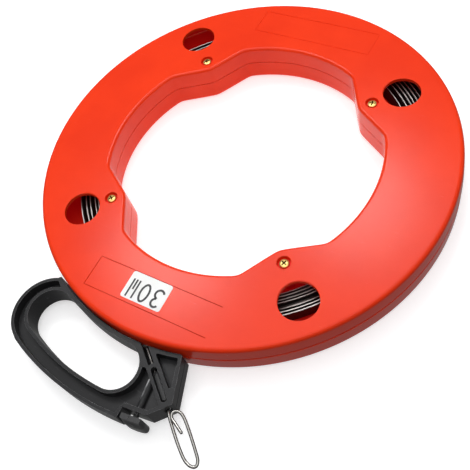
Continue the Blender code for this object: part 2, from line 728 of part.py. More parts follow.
def make_brake_button():
    """Push button in the notch of the grip, with a swelling thumb face."""
    bottom = GRIP_BACK_Z + GAP
    top = GRIP_FRONT_Z - GAP
    left, right = BUTTON_ACROSS
    block = [
        brake_point(left, BUTTON_FOOT),
        brake_point(right - 0.2 * MM, BUTTON_FOOT),
        brake_point(right, BUTTON_TOP),
        brake_point(left, BUTTON_TOP),
    ]
    thumb = [brake_point(across * MM, along * MM) for across, along in THUMB_PROFILE]
    button = prism("brake_button", [block], bottom, top)
    button = join(button, prism("thumb_face", [thumb], bottom + 0.4 * MM, top - 2.7 * MM))
    pocket_floor = BUTTON_TOP - SPRING_POCKET_DEPTH
    spring_pocket = cylinder(
        "spring_pocket", SPRING_POCKET_R,
        brake_point_3d(ROD_ACROSS, pocket_floor), brake_point_3d(ROD_ACROSS, 0.0))
    rod_hole = cylinder(
        "rod_hole", ROD_R + GAP,
        brake_point_3d(ROD_ACROSS, ROD_SPAN[0] - GAP), brake_point_3d(ROD_ACROSS, 0.0), 16)
    button = cut(cut(button, spring_pocket), rod_hole)
    finish(button, "brake_button", BLACK, pivot=brake_point_3d(ROD_ACROSS, BUTTON_TOP))


def make_brake_rod():
    rod = cylinder(
        "brake_rod", ROD_R, brake_point_3d(ROD_ACROSS, ROD_SPAN[0]), brake_point_3d(ROD_ACROSS, ROD_SPAN[1]), 16)
    finish(rod, "brake_rod", STEEL, pivot=brake_point_3d(ROD_ACROSS, BUTTON_TOP))


def make_brake_pad():
    pad = cylinder(
        "brake_pad", ROD_R, brake_point_3d(ROD_ACROSS, PAD_SPAN[0]), brake_point_3d(ROD_ACROSS, PAD_SPAN[1]), 16)
    finish(pad, "brake_pad", RUBBER, pivot=brake_point_3d(ROD_ACROSS, BUTTON_TOP))


def make_rod_clip():
    """Retaining ring on the rod: it stops at the end of its window and keeps the button in."""
    start = brake_point_3d(ROD_ACROSS, CLIP_SPAN[0])
    end = brake_point_3d(ROD_ACROSS, CLIP_SPAN[1])
    ring = cylinder("rod_clip", CLIP_R, start, end, 20)
    hole_start = brake_point_3d(ROD_ACROSS, CLIP_SPAN[0] - MM)
    hole_end = brake_point_3d(ROD_ACROSS, CLIP_SPAN[1] + MM)
    ring = cut(ring, cylinder("rod_clip_hole", ROD_R + GAP, hole_start, hole_end, 16))
    finish(ring, "rod_clip", STEEL, pivot=brake_point_3d(ROD_ACROSS, BUTTON_TOP))


def make_brake_spring():
    """Return spring round the rod, between the notch and the button."""
    turns = 3.5
    steps = 36
    start, end = SPRING_SPAN
    points = []
    for index in range(steps + 1):
        t = index / steps
        angle = 2 * math.pi * turns * t
        along = start + (end - start) * t
        x, y = brake_point(ROD_ACROSS + SPRING_R * math.cos(angle), along)
        points.append((x, y, TAPE_PATH_Z + SPRING_R * math.sin(angle)))
    finish(wire("brake_spring", points, SPRING_WIRE_R, 1), "brake_spring", STEEL)


# ---------------------------------------------------------------- tape end and hook

def make_tape_end():
    """Straight end of the tape, which slides in the channel of the grip."""
    path = [channel_point(along) for along in (TAPE_END_START, FERRULE_SPAN[0] - GAP)]
    tape = ribbon("tape_end", path, (0.0, 0.0))
    finish(tape, "tape_end", STEEL, pivot=(*channel_point(FERRULE_SPAN[0]), TAPE_PATH_Z))


def make_ferrule():
    """Crimped sleeve that joins the tape to the hook wire."""
    start, end = ((*channel_point(along), TAPE_PATH_Z) for along in FERRULE_SPAN)
    sleeve = cylinder("tape_ferrule", FERRULE_R, start, end, 20)
    finish(sleeve, "tape_ferrule", BLACK, pivot=(*channel_point(FERRULE_SPAN[0]), TAPE_PATH_Z))


def smooth_curve(points, steps):
    """Points of a smooth curve that passes through all of the given points."""
    points = [Vector(point) for point in points]
    padded = [2 * points[0] - points[1]] + points + [2 * points[-1] - points[-2]]
    curve = []
    for a, b, c, d in zip(padded, padded[1:], padded[2:], padded[3:]):
        for index in range(steps):
            t = index / steps
            bend = (2 * a - 5 * b + 4 * c - d) * t * t + (3 * b - a - 3 * c + d) * t ** 3
            curve.append(b + ((c - a) * t + bend) / 2)
    curve.append(points[-1])
    return curve


def hook_path():
    """Centre line of the hook: out along one strand, round the tip, back, and round a small eye."""
    stations = []
    for along, across, lift in HOOK_STATIONS:
        x, y = channel_point(along * MM, across * MM)
        stations.append((x, y, TAPE_PATH_Z + lift * MM))
    return smooth_curve(stations, 2)


def make_pull_hook():
    hook = wire("pull_hook", hook_path(), HOOK_WIRE_R, 2)
    finish(hook, "pull_hook", STEEL, pivot=(*channel_point(FERRULE_SPAN[0]), TAPE_PATH_Z))


# ---------------------------------------------------------------- sticker

def make_length_label():
    """Sticker with round corners, laid on the slope of the front face."""
    half_x = LABEL_SIZE[0] / 2
    half_y = LABEL_SIZE[1] / 2
    corner = 1.8 * MM
    outline = []
    for sign_x, sign_y, start in ((1, 1, 0.0), (-1, 1, 90.0), (-1, -1, 180.0), (1, -1, 270.0)):
        centre = (sign_x * (half_x - corner), sign_y * (half_y - corner))
        outline += arc(centre, corner, start, start + 90.0, 4)
    label = prism("length_label", [outline], 0.0, LABEL_THICKNESS)
    x, y = LABEL_CENTRE
    tilt = Matrix.Rotation(math.atan(FACE_SLOPE), 4, "X")
    height = face_height(abs(y)) + GAP
    label.matrix_world = Matrix.Translation((x, y, height)) @ tilt
    finish(label, "length_label", WHITE, pivot=(x, y, height))


make_back_cover()
make_front_cover()
for screw_index, screw_diagonal in enumerate(DIAGONALS):
    make_case_screw(screw_index, screw_diagonal)
make_tape_coil()
make_tape_anchor()
make_anchor_rivet()
make_length_label()
make_grip()
make_brake_spring()
make_brake_button()
make_brake_rod()
make_brake_pad()
make_rod_clip()
make_tape_lead()
make_tape_end()
make_ferrule()
make_pull_hook()
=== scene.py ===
"""Fish tape reel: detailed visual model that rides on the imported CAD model."""
import math

import bmesh
import bpy
from mathutils import Matrix, Vector, noise


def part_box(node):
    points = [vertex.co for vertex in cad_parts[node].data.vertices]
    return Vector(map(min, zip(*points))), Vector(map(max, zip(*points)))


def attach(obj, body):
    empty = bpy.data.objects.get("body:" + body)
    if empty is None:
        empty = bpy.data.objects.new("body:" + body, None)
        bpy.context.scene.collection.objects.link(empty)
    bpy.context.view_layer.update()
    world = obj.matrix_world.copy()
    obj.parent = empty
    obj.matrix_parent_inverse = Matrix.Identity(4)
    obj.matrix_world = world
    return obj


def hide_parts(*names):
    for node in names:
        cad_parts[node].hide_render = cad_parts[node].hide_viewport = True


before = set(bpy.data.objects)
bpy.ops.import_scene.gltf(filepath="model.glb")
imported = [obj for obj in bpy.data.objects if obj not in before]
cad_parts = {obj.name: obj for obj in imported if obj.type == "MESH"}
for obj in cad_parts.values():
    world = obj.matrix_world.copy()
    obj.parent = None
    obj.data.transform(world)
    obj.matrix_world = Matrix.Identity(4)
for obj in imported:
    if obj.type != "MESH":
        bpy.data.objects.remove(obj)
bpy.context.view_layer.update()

MM = 0.001
CASE_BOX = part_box("back_cover")
AXIS = Vector(((CASE_BOX[0][0] + CASE_BOX[1][0]) / 2, (CASE_BOX[0][1] + CASE_BOX[1][1]) / 2, CASE_BOX[0][2]))

# Case. Plan positions count from the reel's axis and heights from its underside.
CASE_R = (CASE_BOX[1][0] - CASE_BOX[0][0]) / 2
BORE_R = 98.5 * MM
LOBE_FLANK = 86.4 * MM
LOBE_SPREAD = 0.257
LOBE_NOSE = 3.0 * MM
LOBE_BLEND = 0.7 * MM
SEAM_Z = 15.2 * MM
SEAM_GAP = 0.3 * MM
RIM_SLOT = 1.4 * MM
WALL = 2.3 * MM
RIM_EDGE_R = 3.0 * MM
BORE_EDGE_R = 2.4 * MM
RIM_WALL_H = 10.0 * MM
RIM_DRAFT = 0.4 * MM
FACE_SLOPE = math.tan(math.radians(1.4))
DIAGONALS = (45.0, 135.0, 225.0, 315.0)
WINDOW_R = 13.3 * MM
WINDOW_RADII = (119.5 * MM, 125.4 * MM, 119.5 * MM, 125.4 * MM)
SCREW_RING_R = 97.4 * MM
BOSS_R = 6.5 * MM
COUNTERBORE_R = 4.6 * MM
COUNTERBORE_FLOOR_Z = 26.4 * MM
SCREW_HOLE_R = 1.8 * MM
PANEL_HALF = 47.7 * MM
PANEL_IN = 111.0 * MM
PANEL_OUT = 133.0 * MM
PANEL_LINE_W = 0.5 * MM
LABEL_CENTRE = (-4.0 * MM, -120.9 * MM)
LABEL_HALF_X = 15.5 * MM
LABEL_HALF_Y = 9.65 * MM
LABEL_T = 0.25 * MM

# Tape
TAPE_T = 0.9 * MM
TAPE_W = 3.2 * MM
TAPE_CORNER = 0.22 * MM
COIL_LAYERS = 5
COIL_LIMITS = (107.2, 137.5)
HOOK_WIRE_R = 1.0 * MM

# Grip
GRIP_BACK_Z = 5.2 * MM
GRIP_FRONT_Z = 21.2 * MM
WEB_BACK_Z = 12.2 * MM
WEB_FRONT_Z = 14.2 * MM
GRIP_SADDLE_R = 151.0 * MM
GRIP_OUTER_R = 198.0 * MM
GRIP_RIB = 2.2 * MM
FINGER_MID_R = 169.85 * MM
FINGER_HALF = 16.0 * MM
FINGER_START = -111.6
FINGER_END = -89.9
LOOP_CENTRE_R = 171.5 * MM
LOOP_R = 26.0 * MM
LOOP_ANGLE = -111.8
NOSE_SHOULDER = (47.2 * MM, -175.4 * MM)
NOSE_TIP = (36.1 * MM, -187.2 * MM)
CHANNEL_START = (11.5 * MM, -151.3 * MM)
CHANNEL_ANGLE = math.radians(-39.6)
BRAKE_TILT = math.radians(7.5)
ROD_ACROSS = -8.2 * MM
ROD_HOLE_R = 1.4 * MM
CLIP_ROOM_R = 1.95 * MM
CLIP_ROOM = (8.6 * MM, 12.4 * MM)


# ---------------- camera, floor and light

def linked(name, data):
    item = bpy.data.objects.new(name, data)
    bpy.context.scene.collection.objects.link(item)
    return item


def preset(node, **values):
    """Set sockets by name; an underscore stands for a space."""
    for name, value in values.items():
        node.inputs[name.replace("_", " ")].default_value = value


def make_camera():
    """Camera fitted to the rim, the bore and the windows in the photograph."""
    data = bpy.data.cameras.new("camera")
    data.lens = 52.277
    data.sensor_width = 36.0
    camera = linked("camera", data)
    right = Vector((0.85557, 0.47444, -0.20714))
    up = Vector((-0.31635, 0.79587, 0.51625))
    back = -Vector((-0.40979, 0.37616, -0.83101))
    rotation = Matrix((right, up, back)).transposed().to_4x4()
    position = Vector((0.211545, -0.229485, 0.382482)) + AXIS + Vector((0.0, 0.0, SEAM_Z))
    camera.matrix_world = Matrix.Translation(position) @ rotation
    bpy.context.scene.camera = camera


def staged(name, bm, height, material, lights=True):
    """A piece of the setting; with lights off it is seen, but throws no light at the reel."""
    mesh = bpy.data.meshes.new(name)
    bm.to_mesh(mesh)
    bm.free()
    mesh.materials.append(material)
    piece = linked(name, mesh)
    piece.location.z = height
    piece.visible_diffuse = lights
    piece.visible_glossy = lights
    return piece


def make_floor():
    """White floor and far wall: only the disc inside the bore throws light back at the reel."""
    material = bpy.data.materials.new("floor")
    material.use_nodes = True
    shader = material.node_tree.nodes["Principled BSDF"]
    preset(shader, Base_Color=(0.66, 0.66, 0.66, 1.0), Roughness=0.9, Specular_IOR_Level=0.0)
    preset(shader, Emission_Color=(1.0, 1.0, 1.0, 1.0), Emission_Strength=0.56)
    bm = bmesh.new()
    bmesh.ops.create_grid(bm, x_segments=1, y_segments=1, size=6.0)
    staged("floor", bm, -0.5 * MM, material, lights=False)
    bm = bmesh.new()
    bmesh.ops.create_circle(bm, cap_ends=True, segments=96, radius=118.0 * MM)
    bmesh.ops.translate(bm, verts=bm.verts, vec=(AXIS.x, AXIS.y, 0.0))
    staged("floor_bore", bm, -0.4 * MM, material)
    bm = bmesh.new()
    bmesh.ops.create_cone(bm, cap_ends=False, segments=96, radius1=5.8, radius2=5.8, depth=8.0)
    staged("wall", bm, 3.9, material, lights=False).visible_shadow = False


def area_light(name, direction, distance, size, power):
    """A soft round lamp that looks at the middle of the reel from a direction."""
    data = bpy.data.lights.new(name, "AREA")
    data.shape = "DISK"
    data.size = size
    data.energy = power
    lamp = linked(name, data)
    way = Vector(direction).normalized()
    target = AXIS + Vector((0.0, 0.0, SEAM_Z))
    turn = way.to_track_quat("Z", "Y").to_matrix().to_4x4()
    lamp.matrix_world = Matrix.Translation(target + way * distance) @ turn


def make_light():
    """A sky that is bright overhead and dark at the horizon, a large lamp above and two behind."""
    world = bpy.data.worlds.new("world")
    bpy.context.scene.world = world
    world.use_nodes = True
    nodes = world.node_tree.nodes
    links = world.node_tree.links
    where = nodes.new("ShaderNodeTexCoord")
    split = nodes.new("ShaderNodeSeparateXYZ")
    lift = nodes.new("ShaderNodeMath")
    lift.operation = "MULTIPLY_ADD"
    lift.inputs[1].default_value = 0.5
    lift.inputs[2].default_value = 0.5
    ramp = nodes.new("ShaderNodeValToRGB")
    links.new(where.outputs["Generated"], split.inputs[0])
    links.new(split.outputs["Z"], lift.inputs[0])
    links.new(lift.outputs[0], ramp.inputs[0])
    links.new(ramp.outputs[0], nodes["Background"].inputs[0])
    stops = ramp.color_ramp.elements
    stops[0].color = (0.42, 0.42, 0.42, 1.0)
    stops[1].color = (0.50, 0.50, 0.51, 1.0)
    stops.new(0.5).color = (0.05, 0.05, 0.052, 1.0)
    bpy.context.scene.view_settings.view_transform = "Standard"
    area_light("key", (0.06, 0.06, 1.0), 2.0, 2.8, 27.0)
    area_light("back_right", (-0.195, 0.49, 0.85), 1.6, 0.40, 4.6)
    area_light("back_left", (-0.485, 0.225, 0.845), 1.6, 0.40, 4.6)


# ---------------- materials

class Shader:
    """A material with a Principled shader and short ways to add and join nodes."""

    def __init__(self, name, roughness, metallic=0.0, specular=0.5):
        self.material = bpy.data.materials.new(name)
        self.material.use_nodes = True
        self.tree = self.material.node_tree
        self.surface = self.tree.nodes["Principled BSDF"]
        preset(self.surface, Roughness=roughness, Metallic=metallic, Specular_IOR_Level=specular)
        self.where = self.add("ShaderNodeTexCoord").outputs["Object"]

    def add(self, kind, **settings):
        node = self.tree.nodes.new(kind)
        for key, value in settings.items():
            setattr(node, key, value)
        return node

    def join(self, source, target):
        self.tree.links.new(source, target)

    def noise(self, scale, detail=2.0, roughness=0.5, stretch=None):
        where = self.where
        if stretch:
            mapping = self.add("ShaderNodeMapping")
            preset(mapping, Scale=stretch)
            self.join(where, mapping.inputs["Vector"])
            where = mapping.outputs[0]
        node = self.add("ShaderNodeTexNoise")
        preset(node, Scale=scale, Detail=detail, Roughness=roughness)
        self.join(where, node.inputs["Vector"])
        return node.outputs["Fac"]

    def spread(self, source, low, high, out_low=0.0, out_high=1.0):
        """Map a value range to another and clamp it."""
        node = self.add("ShaderNodeMapRange")
        preset(node, From_Min=low, From_Max=high, To_Min=out_low, To_Max=out_high)
        self.join(source, node.inputs["Value"])
        return node.outputs[0]

    def math(self, operation, a, b=0.0):
        node = self.add("ShaderNodeMath", operation=operation)
        for socket, value in zip(node.inputs, (a, b)):
            if isinstance(value, float):
                socket.default_value = value
            else:
                self.join(value, socket)
        return node.outputs[0]

    def mix(self, factor, a, b):
        node = self.add("ShaderNodeMix", data_type="RGBA")
        self.join(factor, node.inputs[0])
        for socket, value in zip(node.inputs[6:8], (a, b)):
            if isinstance(value, tuple):
                socket.default_value = (*value, 1.0)
            else:
                self.join(value, socket)
        return node.outputs[2]

    def upright(self):
        """How far the surface faces up or down, from 0 on a wall to 1 on a level face."""
        axes = self.add("ShaderNodeSeparateXYZ")
        self.join(self.add("ShaderNodeTexCoord").outputs["Normal"], axes.inputs[0])
        return self.math("ABSOLUTE", axes.outputs[2])

    def edges(self, low, high):
        """How far a point stands out as an edge, for abraded edges and for painted edge highlights."""
        return self.spread(self.add("ShaderNodeNewGeometry").outputs["Pointiness"], low, high)

    def rounded(self):
        """1 on the rounding between a wall and a level face, 0 on both."""
        level = self.upright()
        return self.math("MULTIPLY", self.spread(level, 0.15, 0.45), self.spread(level, 0.995, 0.90))

    def finish(self, colour, roughness, bumps):
        """Join the colour, the roughness and a chain of bumps: height, strength and distance."""
        self.join(colour, self.surface.inputs["Base Color"])
        self.join(roughness, self.surface.inputs["Roughness"])
        normal = None
        for height, strength, distance in bumps:
            bump = self.add("ShaderNodeBump")
            preset(bump, Strength=strength, Distance=distance)
            self.join(height, bump.inputs["Height"])
            if normal is not None:
                self.join(normal, bump.inputs["Normal"])
            normal = bump.outputs[0]
        self.join(normal, self.surface.inputs["Normal"])
        return self.material


def shade(colour, factor):
    return tuple(min(1.0, factor * value) for value in colour)


def moulded_plastic(name, base, deep, wear_and_highlight_colour, roughness, specular, grain, bump, edge_wear_and_highlight=0.35, painted_glow=0.0):
    """Moulded plastic: mottling, fine grain, scuffs and pale edges that are abrasion and, on black plastic,
    also a painted edge highlight; an optional red emission is painted light let through.
    """
    shader = Shader(name, roughness, 0.0, specular)
    # Painted light: a red emission that stands in for light let through the plastic; the part is no lamp.
    if painted_glow:
        preset(shader.surface, Emission_Color=(1.0, 0.0, 0.01, 1.0), Emission_Strength=painted_glow)
    mottle = shader.noise(22.0, 3.0)
    fine = shader.noise(grain, 2.0, 0.6)
    scuffs = shader.spread(shader.noise(60.0, 4.0, 0.7, (1.0, 9.0, 4.0)), 0.62, 0.78)
    chips = shader.spread(shader.noise(160.0, 3.0), 0.25, 0.60)
    edge = shader.math("MULTIPLY", shader.edges(0.505, 0.56), chips)
    edge = shader.math("MULTIPLY", edge, shader.rounded())
    colour = shader.mix(shader.spread(mottle, 0.35, 0.65), base, deep)
    # Pale edges: abrasion, and on the black grip and button also a painted highlight where the edges would
    # catch light.
    colour = shader.mix(shader.math("MULTIPLY", edge, edge_wear_and_highlight), colour, wear_and_highlight_colour)
    colour = shader.mix(shader.math("MULTIPLY", scuffs, 0.10), colour, wear_and_highlight_colour)
    rough = shader.spread(fine, 0.3, 0.7, roughness - 0.04, roughness + 0.05)
    rough = shader.math("ADD", rough, shader.math("MULTIPLY", scuffs, 0.08))
    rough = shader.math("ADD", rough, shader.math("MULTIPLY", edge, 0.08))
    return shader.finish(colour, rough, ((mottle, 0.10, 0.0004), (fine, bump, 0.00002)))


def rolled_finish(shader, colour, lines, stains, roughness):
    """Drawing lines and stains in the roughness, and the lines in the bump."""
    rough = shader.spread(lines, 0.3, 0.7, roughness - 0.07, roughness + 0.08)
    rough = shader.math("ADD", rough, shader.math("MULTIPLY", stains, 0.12))
    return shader.finish(colour, rough, ((lines, 0.25, 0.00004),))


def drawn_steel(name, base, dark, roughness, along):
    """Steel with fine drawing lines, stains and brighter rubbed edges."""
    shader = Shader(name, roughness, 1.0)
    lines = shader.noise(900.0, 3.0, 0.6, along)
    stains = shader.spread(shader.noise(70.0, 4.0, 0.6), 0.45, 0.7)
    edge = shader.edges(0.52, 0.6)
    colour = shader.mix(shader.spread(lines, 0.3, 0.7), base, shade(base, 0.82))
    colour = shader.mix(shader.math("MULTIPLY", stains, 0.5), colour, dark)
    colour = shader.mix(shader.math("MULTIPLY", edge, 0.5), colour, shade(base, 1.25))
    return rolled_finish(shader, colour, lines, stains, roughness)


def blued_tape_painted_top_light(name, face, edge, dark, roughness):
    """Blued spring steel: dark rolled faces; whatever points up or down takes the bright colour, the sheared
    edges' shine plus a painted highlight on the tops, so the sides stay in painted shade.
    """
    shader = Shader(name, roughness, 1.0)
    upright = shader.spread(shader.upright(), 0.90, 0.995)
    lines = shader.noise(900.0, 3.0, 0.6, LENGTHWISE)
    stains = shader.spread(shader.noise(70.0, 4.0, 0.6), 0.45, 0.7)
    colour = shader.mix(shader.spread(lines, 0.3, 0.7), face, shade(face, 0.7))
    # Painted highlight: faces that point up or down are bright, the broad flat twist too.
    colour = shader.mix(upright, colour, edge)
    colour = shader.mix(shader.math("MULTIPLY", stains, 0.4), colour, dark)
    return rolled_finish(shader, colour, lines, stains, roughness)


def printed_vinyl(name, base, deep, roughness):
    """Vinyl film: faint clouds, fine fibre and slightly darker edges."""
    shader = Shader(name, roughness, 0.0, 0.4)
    clouds = shader.noise(90.0, 3.0)
    fibre = shader.noise(1500.0, 2.0, 0.6)
    edge = shader.edges(0.53, 0.62)
    colour = shader.mix(shader.spread(clouds, 0.35, 0.7), base, deep)
    colour = shader.mix(shader.math("MULTIPLY", edge, 0.4), colour, shade(base, 0.75))
    rough = shader.spread(fibre, 0.3, 0.7, roughness - 0.05, roughness + 0.07)
    return shader.finish(colour, rough, ((fibre, 0.12, 0.00003),))


def grey(value):
    return (value, value, value)


EVEN = (1.0, 1.0, 1.0)
LENGTHWISE = (1.0, 1.0, 6.0)
RED = moulded_plastic(
    "case_red", (0.88, 0.040, 0.004), (0.82, 0.033, 0.003), (0.95, 0.14, 0.07), 0.21, 0.22, 1400.0, 0.10)
# Inner side of the shells: duller red with a painted red emission as light let through.
RED_INSIDE_PAINTED_GLOW = moulded_plastic(
    "case_red_inside_painted_glow", (0.80, 0.030, 0.010), (0.72, 0.025, 0.008), (0.90, 0.10, 0.05), 0.5, 0.15, 1400.0,
    0.10, painted_glow=0.07)
# Black plastic: its strong pale edge colour is partly a painted edge highlight.
BLACK = moulded_plastic(
    "grip_black", (0.027, 0.027, 0.028), (0.020, 0.020, 0.021), (0.60, 0.60, 0.61), 0.36, 0.16, 900.0, 0.3,
    edge_wear_and_highlight=0.9)
BUTTON_BLACK = moulded_plastic(
    "button_black", (0.052, 0.052, 0.053), (0.042, 0.042, 0.043), grey(0.40), 0.34, 0.2, 1200.0, 0.25,
    edge_wear_and_highlight=0.8)
RUBBER = moulded_plastic("pad_rubber", grey(0.018), grey(0.012), grey(0.05), 0.75, 0.3, 1800.0, 0.5)
TAPE = blued_tape_painted_top_light("tape_steel", (0.10, 0.085, 0.08), (0.52, 0.49, 0.47), (0.08, 0.07, 0.065), 0.56)
# A darker copy of the same tape: painted shade for the tape in the rim slot and the channel.
TAPE_PAINTED_SHADE = blued_tape_painted_top_light("tape_painted_shade", (0.08, 0.07, 0.065), (0.20, 0.19, 0.18), (0.06, 0.05, 0.045), 0.5)
DARK_STEEL = drawn_steel("dark_steel", grey(0.10), (0.05, 0.045, 0.04), 0.40, LENGTHWISE)
WIRE = drawn_steel("wire_steel", (0.36, 0.35, 0.33), (0.20, 0.19, 0.18), 0.20, EVEN)
BRASS = drawn_steel("screw_brass", (0.86, 0.58, 0.20), (0.50, 0.32, 0.10), 0.30, EVEN)
# Darker brown steel for the faces inside the screws' cross recesses.
RECESS_DARK_BROWN = drawn_steel("recess_dark_brown", (0.16, 0.085, 0.02), (0.06, 0.035, 0.01), 0.6, EVEN)
LABEL = printed_vinyl("label_white", (0.90, 0.90, 0.89), (0.84, 0.84, 0.82), 0.42)
INK = printed_vinyl("label_ink", (0.035, 0.035, 0.038), grey(0.06), 0.45)


# ---------------- modelling helpers

def in_mm(*rows):
    return [tuple(value * MM for value in row) for row in rows]


def polar(radius, degrees):
    angle = math.radians(degrees)
    return (radius * math.cos(angle), radius * math.sin(angle))


def arc(centre, radius, start, end, steps):
    points = []
    for index in range(steps + 1):
        x, y = polar(radius, start + (end - start) * index / steps)
        points.append((centre[0] + x, centre[1] + y))
    return points


def as_mesh(item, weld=0.000005):
    """Replace a curve, or a mesh with modifiers, by its finished mesh."""
    bpy.context.view_layer.update()
    graph = bpy.context.evaluated_depsgraph_get()
    mesh = bpy.data.meshes.new_from_object(item.evaluated_get(graph))
    matrix = item.matrix_world.copy()
    bm = bmesh.new()
    bm.from_mesh(mesh)
    bmesh.ops.remove_doubles(bm, verts=bm.verts, dist=weld)
    bmesh.ops.recalc_face_normals(bm, faces=bm.faces)
    bm.to_mesh(mesh)
    bm.free()
    bpy.data.objects.remove(item, do_unlink=True)
    result = linked("piece", mesh)
    result.matrix_world = matrix
    return result


def object_from_bmesh(bm):
    mesh = bpy.data.meshes.new("piece")
    bmesh.ops.recalc_face_normals(bm, faces=bm.faces)
    bm.to_mesh(mesh)
    bm.free()
    return linked("piece", mesh)


def skin(bm, one, two):
    """Quads between two rings of vertices."""
    for index in range(len(one)):
        other = (index + 1) % len(one)
        bm.faces.new((one[index], one[other], two[other], two[index]))


def skin_rings(bm, rings):
    """A closed tube through a row of rings."""
    for one, two in zip(rings, rings[1:]):
        skin(bm, one, two)
    bm.faces.new(rings[0])
    bm.faces.new(rings[-1])


def prism(outlines, bottom, top):
    """A flat outline, with holes for any further outlines, extruded between two heights."""
    curve = bpy.data.curves.new("outline", "CURVE")
    curve.dimensions = "2D"
    curve.fill_mode = "BOTH"
    curve.extrude = (top - bottom) / 2
    for outline in outlines:
        spline = curve.splines.new("POLY")
        spline.points.add(len(outline) - 1)
        for point, (x, y) in zip(spline.points, outline):
            point.co = (x, y, 0.0, 1.0)
        spline.use_cyclic_u = True
    item = linked("outline", curve)
    item.location.z = (top + bottom) / 2
    return dissolve_flats(as_mesh(item))


def dissolve_flats(item):
    """Join the coplanar faces of a piece into one."""
    bm = bmesh.new()
    bm.from_mesh(item.data)
    limit = math.radians(0.3)
    bmesh.ops.dissolve_limit(bm, angle_limit=limit, verts=bm.verts, edges=bm.edges)
    bm.to_mesh(item.data)
    bm.free()
    return item


def turned(profile, steps, start, end):
    """A (radius, height) profile, which starts and ends on the axis, turned round a line."""
    bm = bmesh.new()
    rings = []
    for radius, height in profile:
        if radius <= 1e-9:
            rings.append([bm.verts.new((0.0, 0.0, height))])
            continue
        ring = []
        for index in range(steps):
            x, y = polar(radius, 360.0 * index / steps)
            ring.append(bm.verts.new((x, y, height)))
        rings.append(ring)
    for one, two in zip(rings, rings[1:]):
        if len(one) == len(two):
            skin(bm, one, two)
            continue
        for index in range(steps):
            other = (index + 1) % steps
            if len(one) == 1:
                bm.faces.new((one[0], two[index], two[other]))
            else:
                bm.faces.new((one[index], one[other], two[0]))
    item = object_from_bmesh(bm)
    start = Vector(start)
    end = Vector(end)
    turn = Vector((0.0, 0.0, 1.0)).rotation_difference(end - start).to_matrix().to_4x4()
    item.matrix_world = Matrix.Translation(start) @ turn
    return item


def cylinder(radius, start, end, segments=48):
    length = (Vector(end) - Vector(start)).length
    profile = [(0.0, 0.0), (radius, 0.0), (radius, length), (0.0, length)]
    return turned(profile, segments, start, end)


def heading_at(points, index):
    """Direction of a path at one of its points."""
    before = points[max(index - 1, 0)]
    after = points[min(index + 1, len(points) - 1)]
    return (after - before).normalized()


def sweep(points, section, turns=None):
    """Sweep a flat section along a path; turns rolls the section about the path, in degrees."""
    bm = bmesh.new()
    points = [Vector(point) for point in points]
    rings = []
    for index, point in enumerate(points):
        heading = heading_at(points, index)
        side = Vector((0.0, 0.0, 1.0)).cross(heading).normalized()
        up = heading.cross(side)
        roll = math.radians(turns[index]) if turns else 0.0
        outline = section(index) if callable(section) else section
        ring = []
        for a, b in outline:
            wide = a * math.cos(roll) - b * math.sin(roll)
            high = a * math.sin(roll) + b * math.cos(roll)
            ring.append(bm.verts.new(point + side * wide + up * high))
        rings.append(ring)
    skin_rings(bm, rings)
    return object_from_bmesh(bm)


def apply_boolean(item, cutters, operation):
    for cutter in cutters:
        modifier = item.modifiers.new(operation.lower(), "BOOLEAN")
        modifier.operation = operation
        modifier.solver = "EXACT"
        modifier.object = cutter
    result = as_mesh(item, weld=0.000001)
    for cutter in cutters:
        bpy.data.objects.remove(cutter, do_unlink=True)
    return result


def cut(item, *cutters):
    return apply_boolean(item, cutters, "DIFFERENCE")


def join(item, *others):
    return apply_boolean(item, others, "UNION")


def bevel(item, width, segments=3, angle=35.0):
    modifier = item.modifiers.new("bevel", "BEVEL")
    modifier.width = width
    modifier.segments = segments
    modifier.limit_method = "ANGLE"
    modifier.angle_limit = math.radians(angle)
    modifier.miter_outer = "MITER_ARC"
    return as_mesh(item, weld=0.000001)


def finish(item, name, material, body, node=None, smooth=30.0, weighted=True):
    """Name and colour a piece, bring it to the reel's place and tie it to the CAD model."""
    item.name = name
    item.data.name = name
    item.data.transform(Matrix.Translation(AXIS) @ item.matrix_world)
    item.matrix_world = Matrix.Identity(4)
    item.data.materials.clear()
    item.data.materials.append(material)
    item.data.shade_smooth()
    item.data.set_sharp_from_angle(angle=math.radians(smooth))
    if weighted:
        modifier = item.modifiers.new("normals", "WEIGHTED_NORMAL")
        modifier.keep_sharp = True
        modifier.weight = 50
    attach(item, body)
    if node:
        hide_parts(node)
    return item


# ---------------- case

def bore_radius(degrees):
    """Bore with a blunt lobe on each diagonal; lobe and circle run smoothly into each other."""
    offset = math.radians(degrees % 90.0 - 45.0)
    radius = BORE_R
    for _ in range(6):
        across = radius * math.sin(offset)
        flank = (LOBE_FLANK + LOBE_SPREAD * math.hypot(across, LOBE_NOSE)) / math.cos(offset)
        gap = (flank - BORE_R) / LOBE_BLEND
        radius = BORE_R - LOBE_BLEND * math.log(1.0 + math.exp(-gap)) if gap > -40.0 else flank
    return radius


def ring_angles():
    """One section a degree, and more of them round the noses and ends of the lobes."""
    angles = set(float(degrees) for degrees in range(360))
    for diagonal in DIAGONALS:
        for step in range(-16, 17):
            angles.add((diagonal + 0.25 * step) % 360.0)
        for step in range(-8, 9):
            angles.add((diagonal + 17.0 + 0.5 * step) % 360.0)
            angles.add((diagonal - 17.0 + 0.5 * step) % 360.0)
    return sorted(angles)


def face_height(radius):
    return SEAM_Z + RIM_WALL_H + RIM_EDGE_R + (CASE_R - RIM_EDGE_R - radius) * FACE_SLOPE


def rim_lip(side):
    """Edge of a shell at the rim slot; side is 1 for the front shell and -1 for the back one."""
    slot = SEAM_Z + side * RIM_SLOT / 2
    steps = ((0.35, 0.0), (0.08, 0.1), (0.0, 0.35))
    return [(CASE_R - inward * MM, slot + side * away * MM) for inward, away in steps]


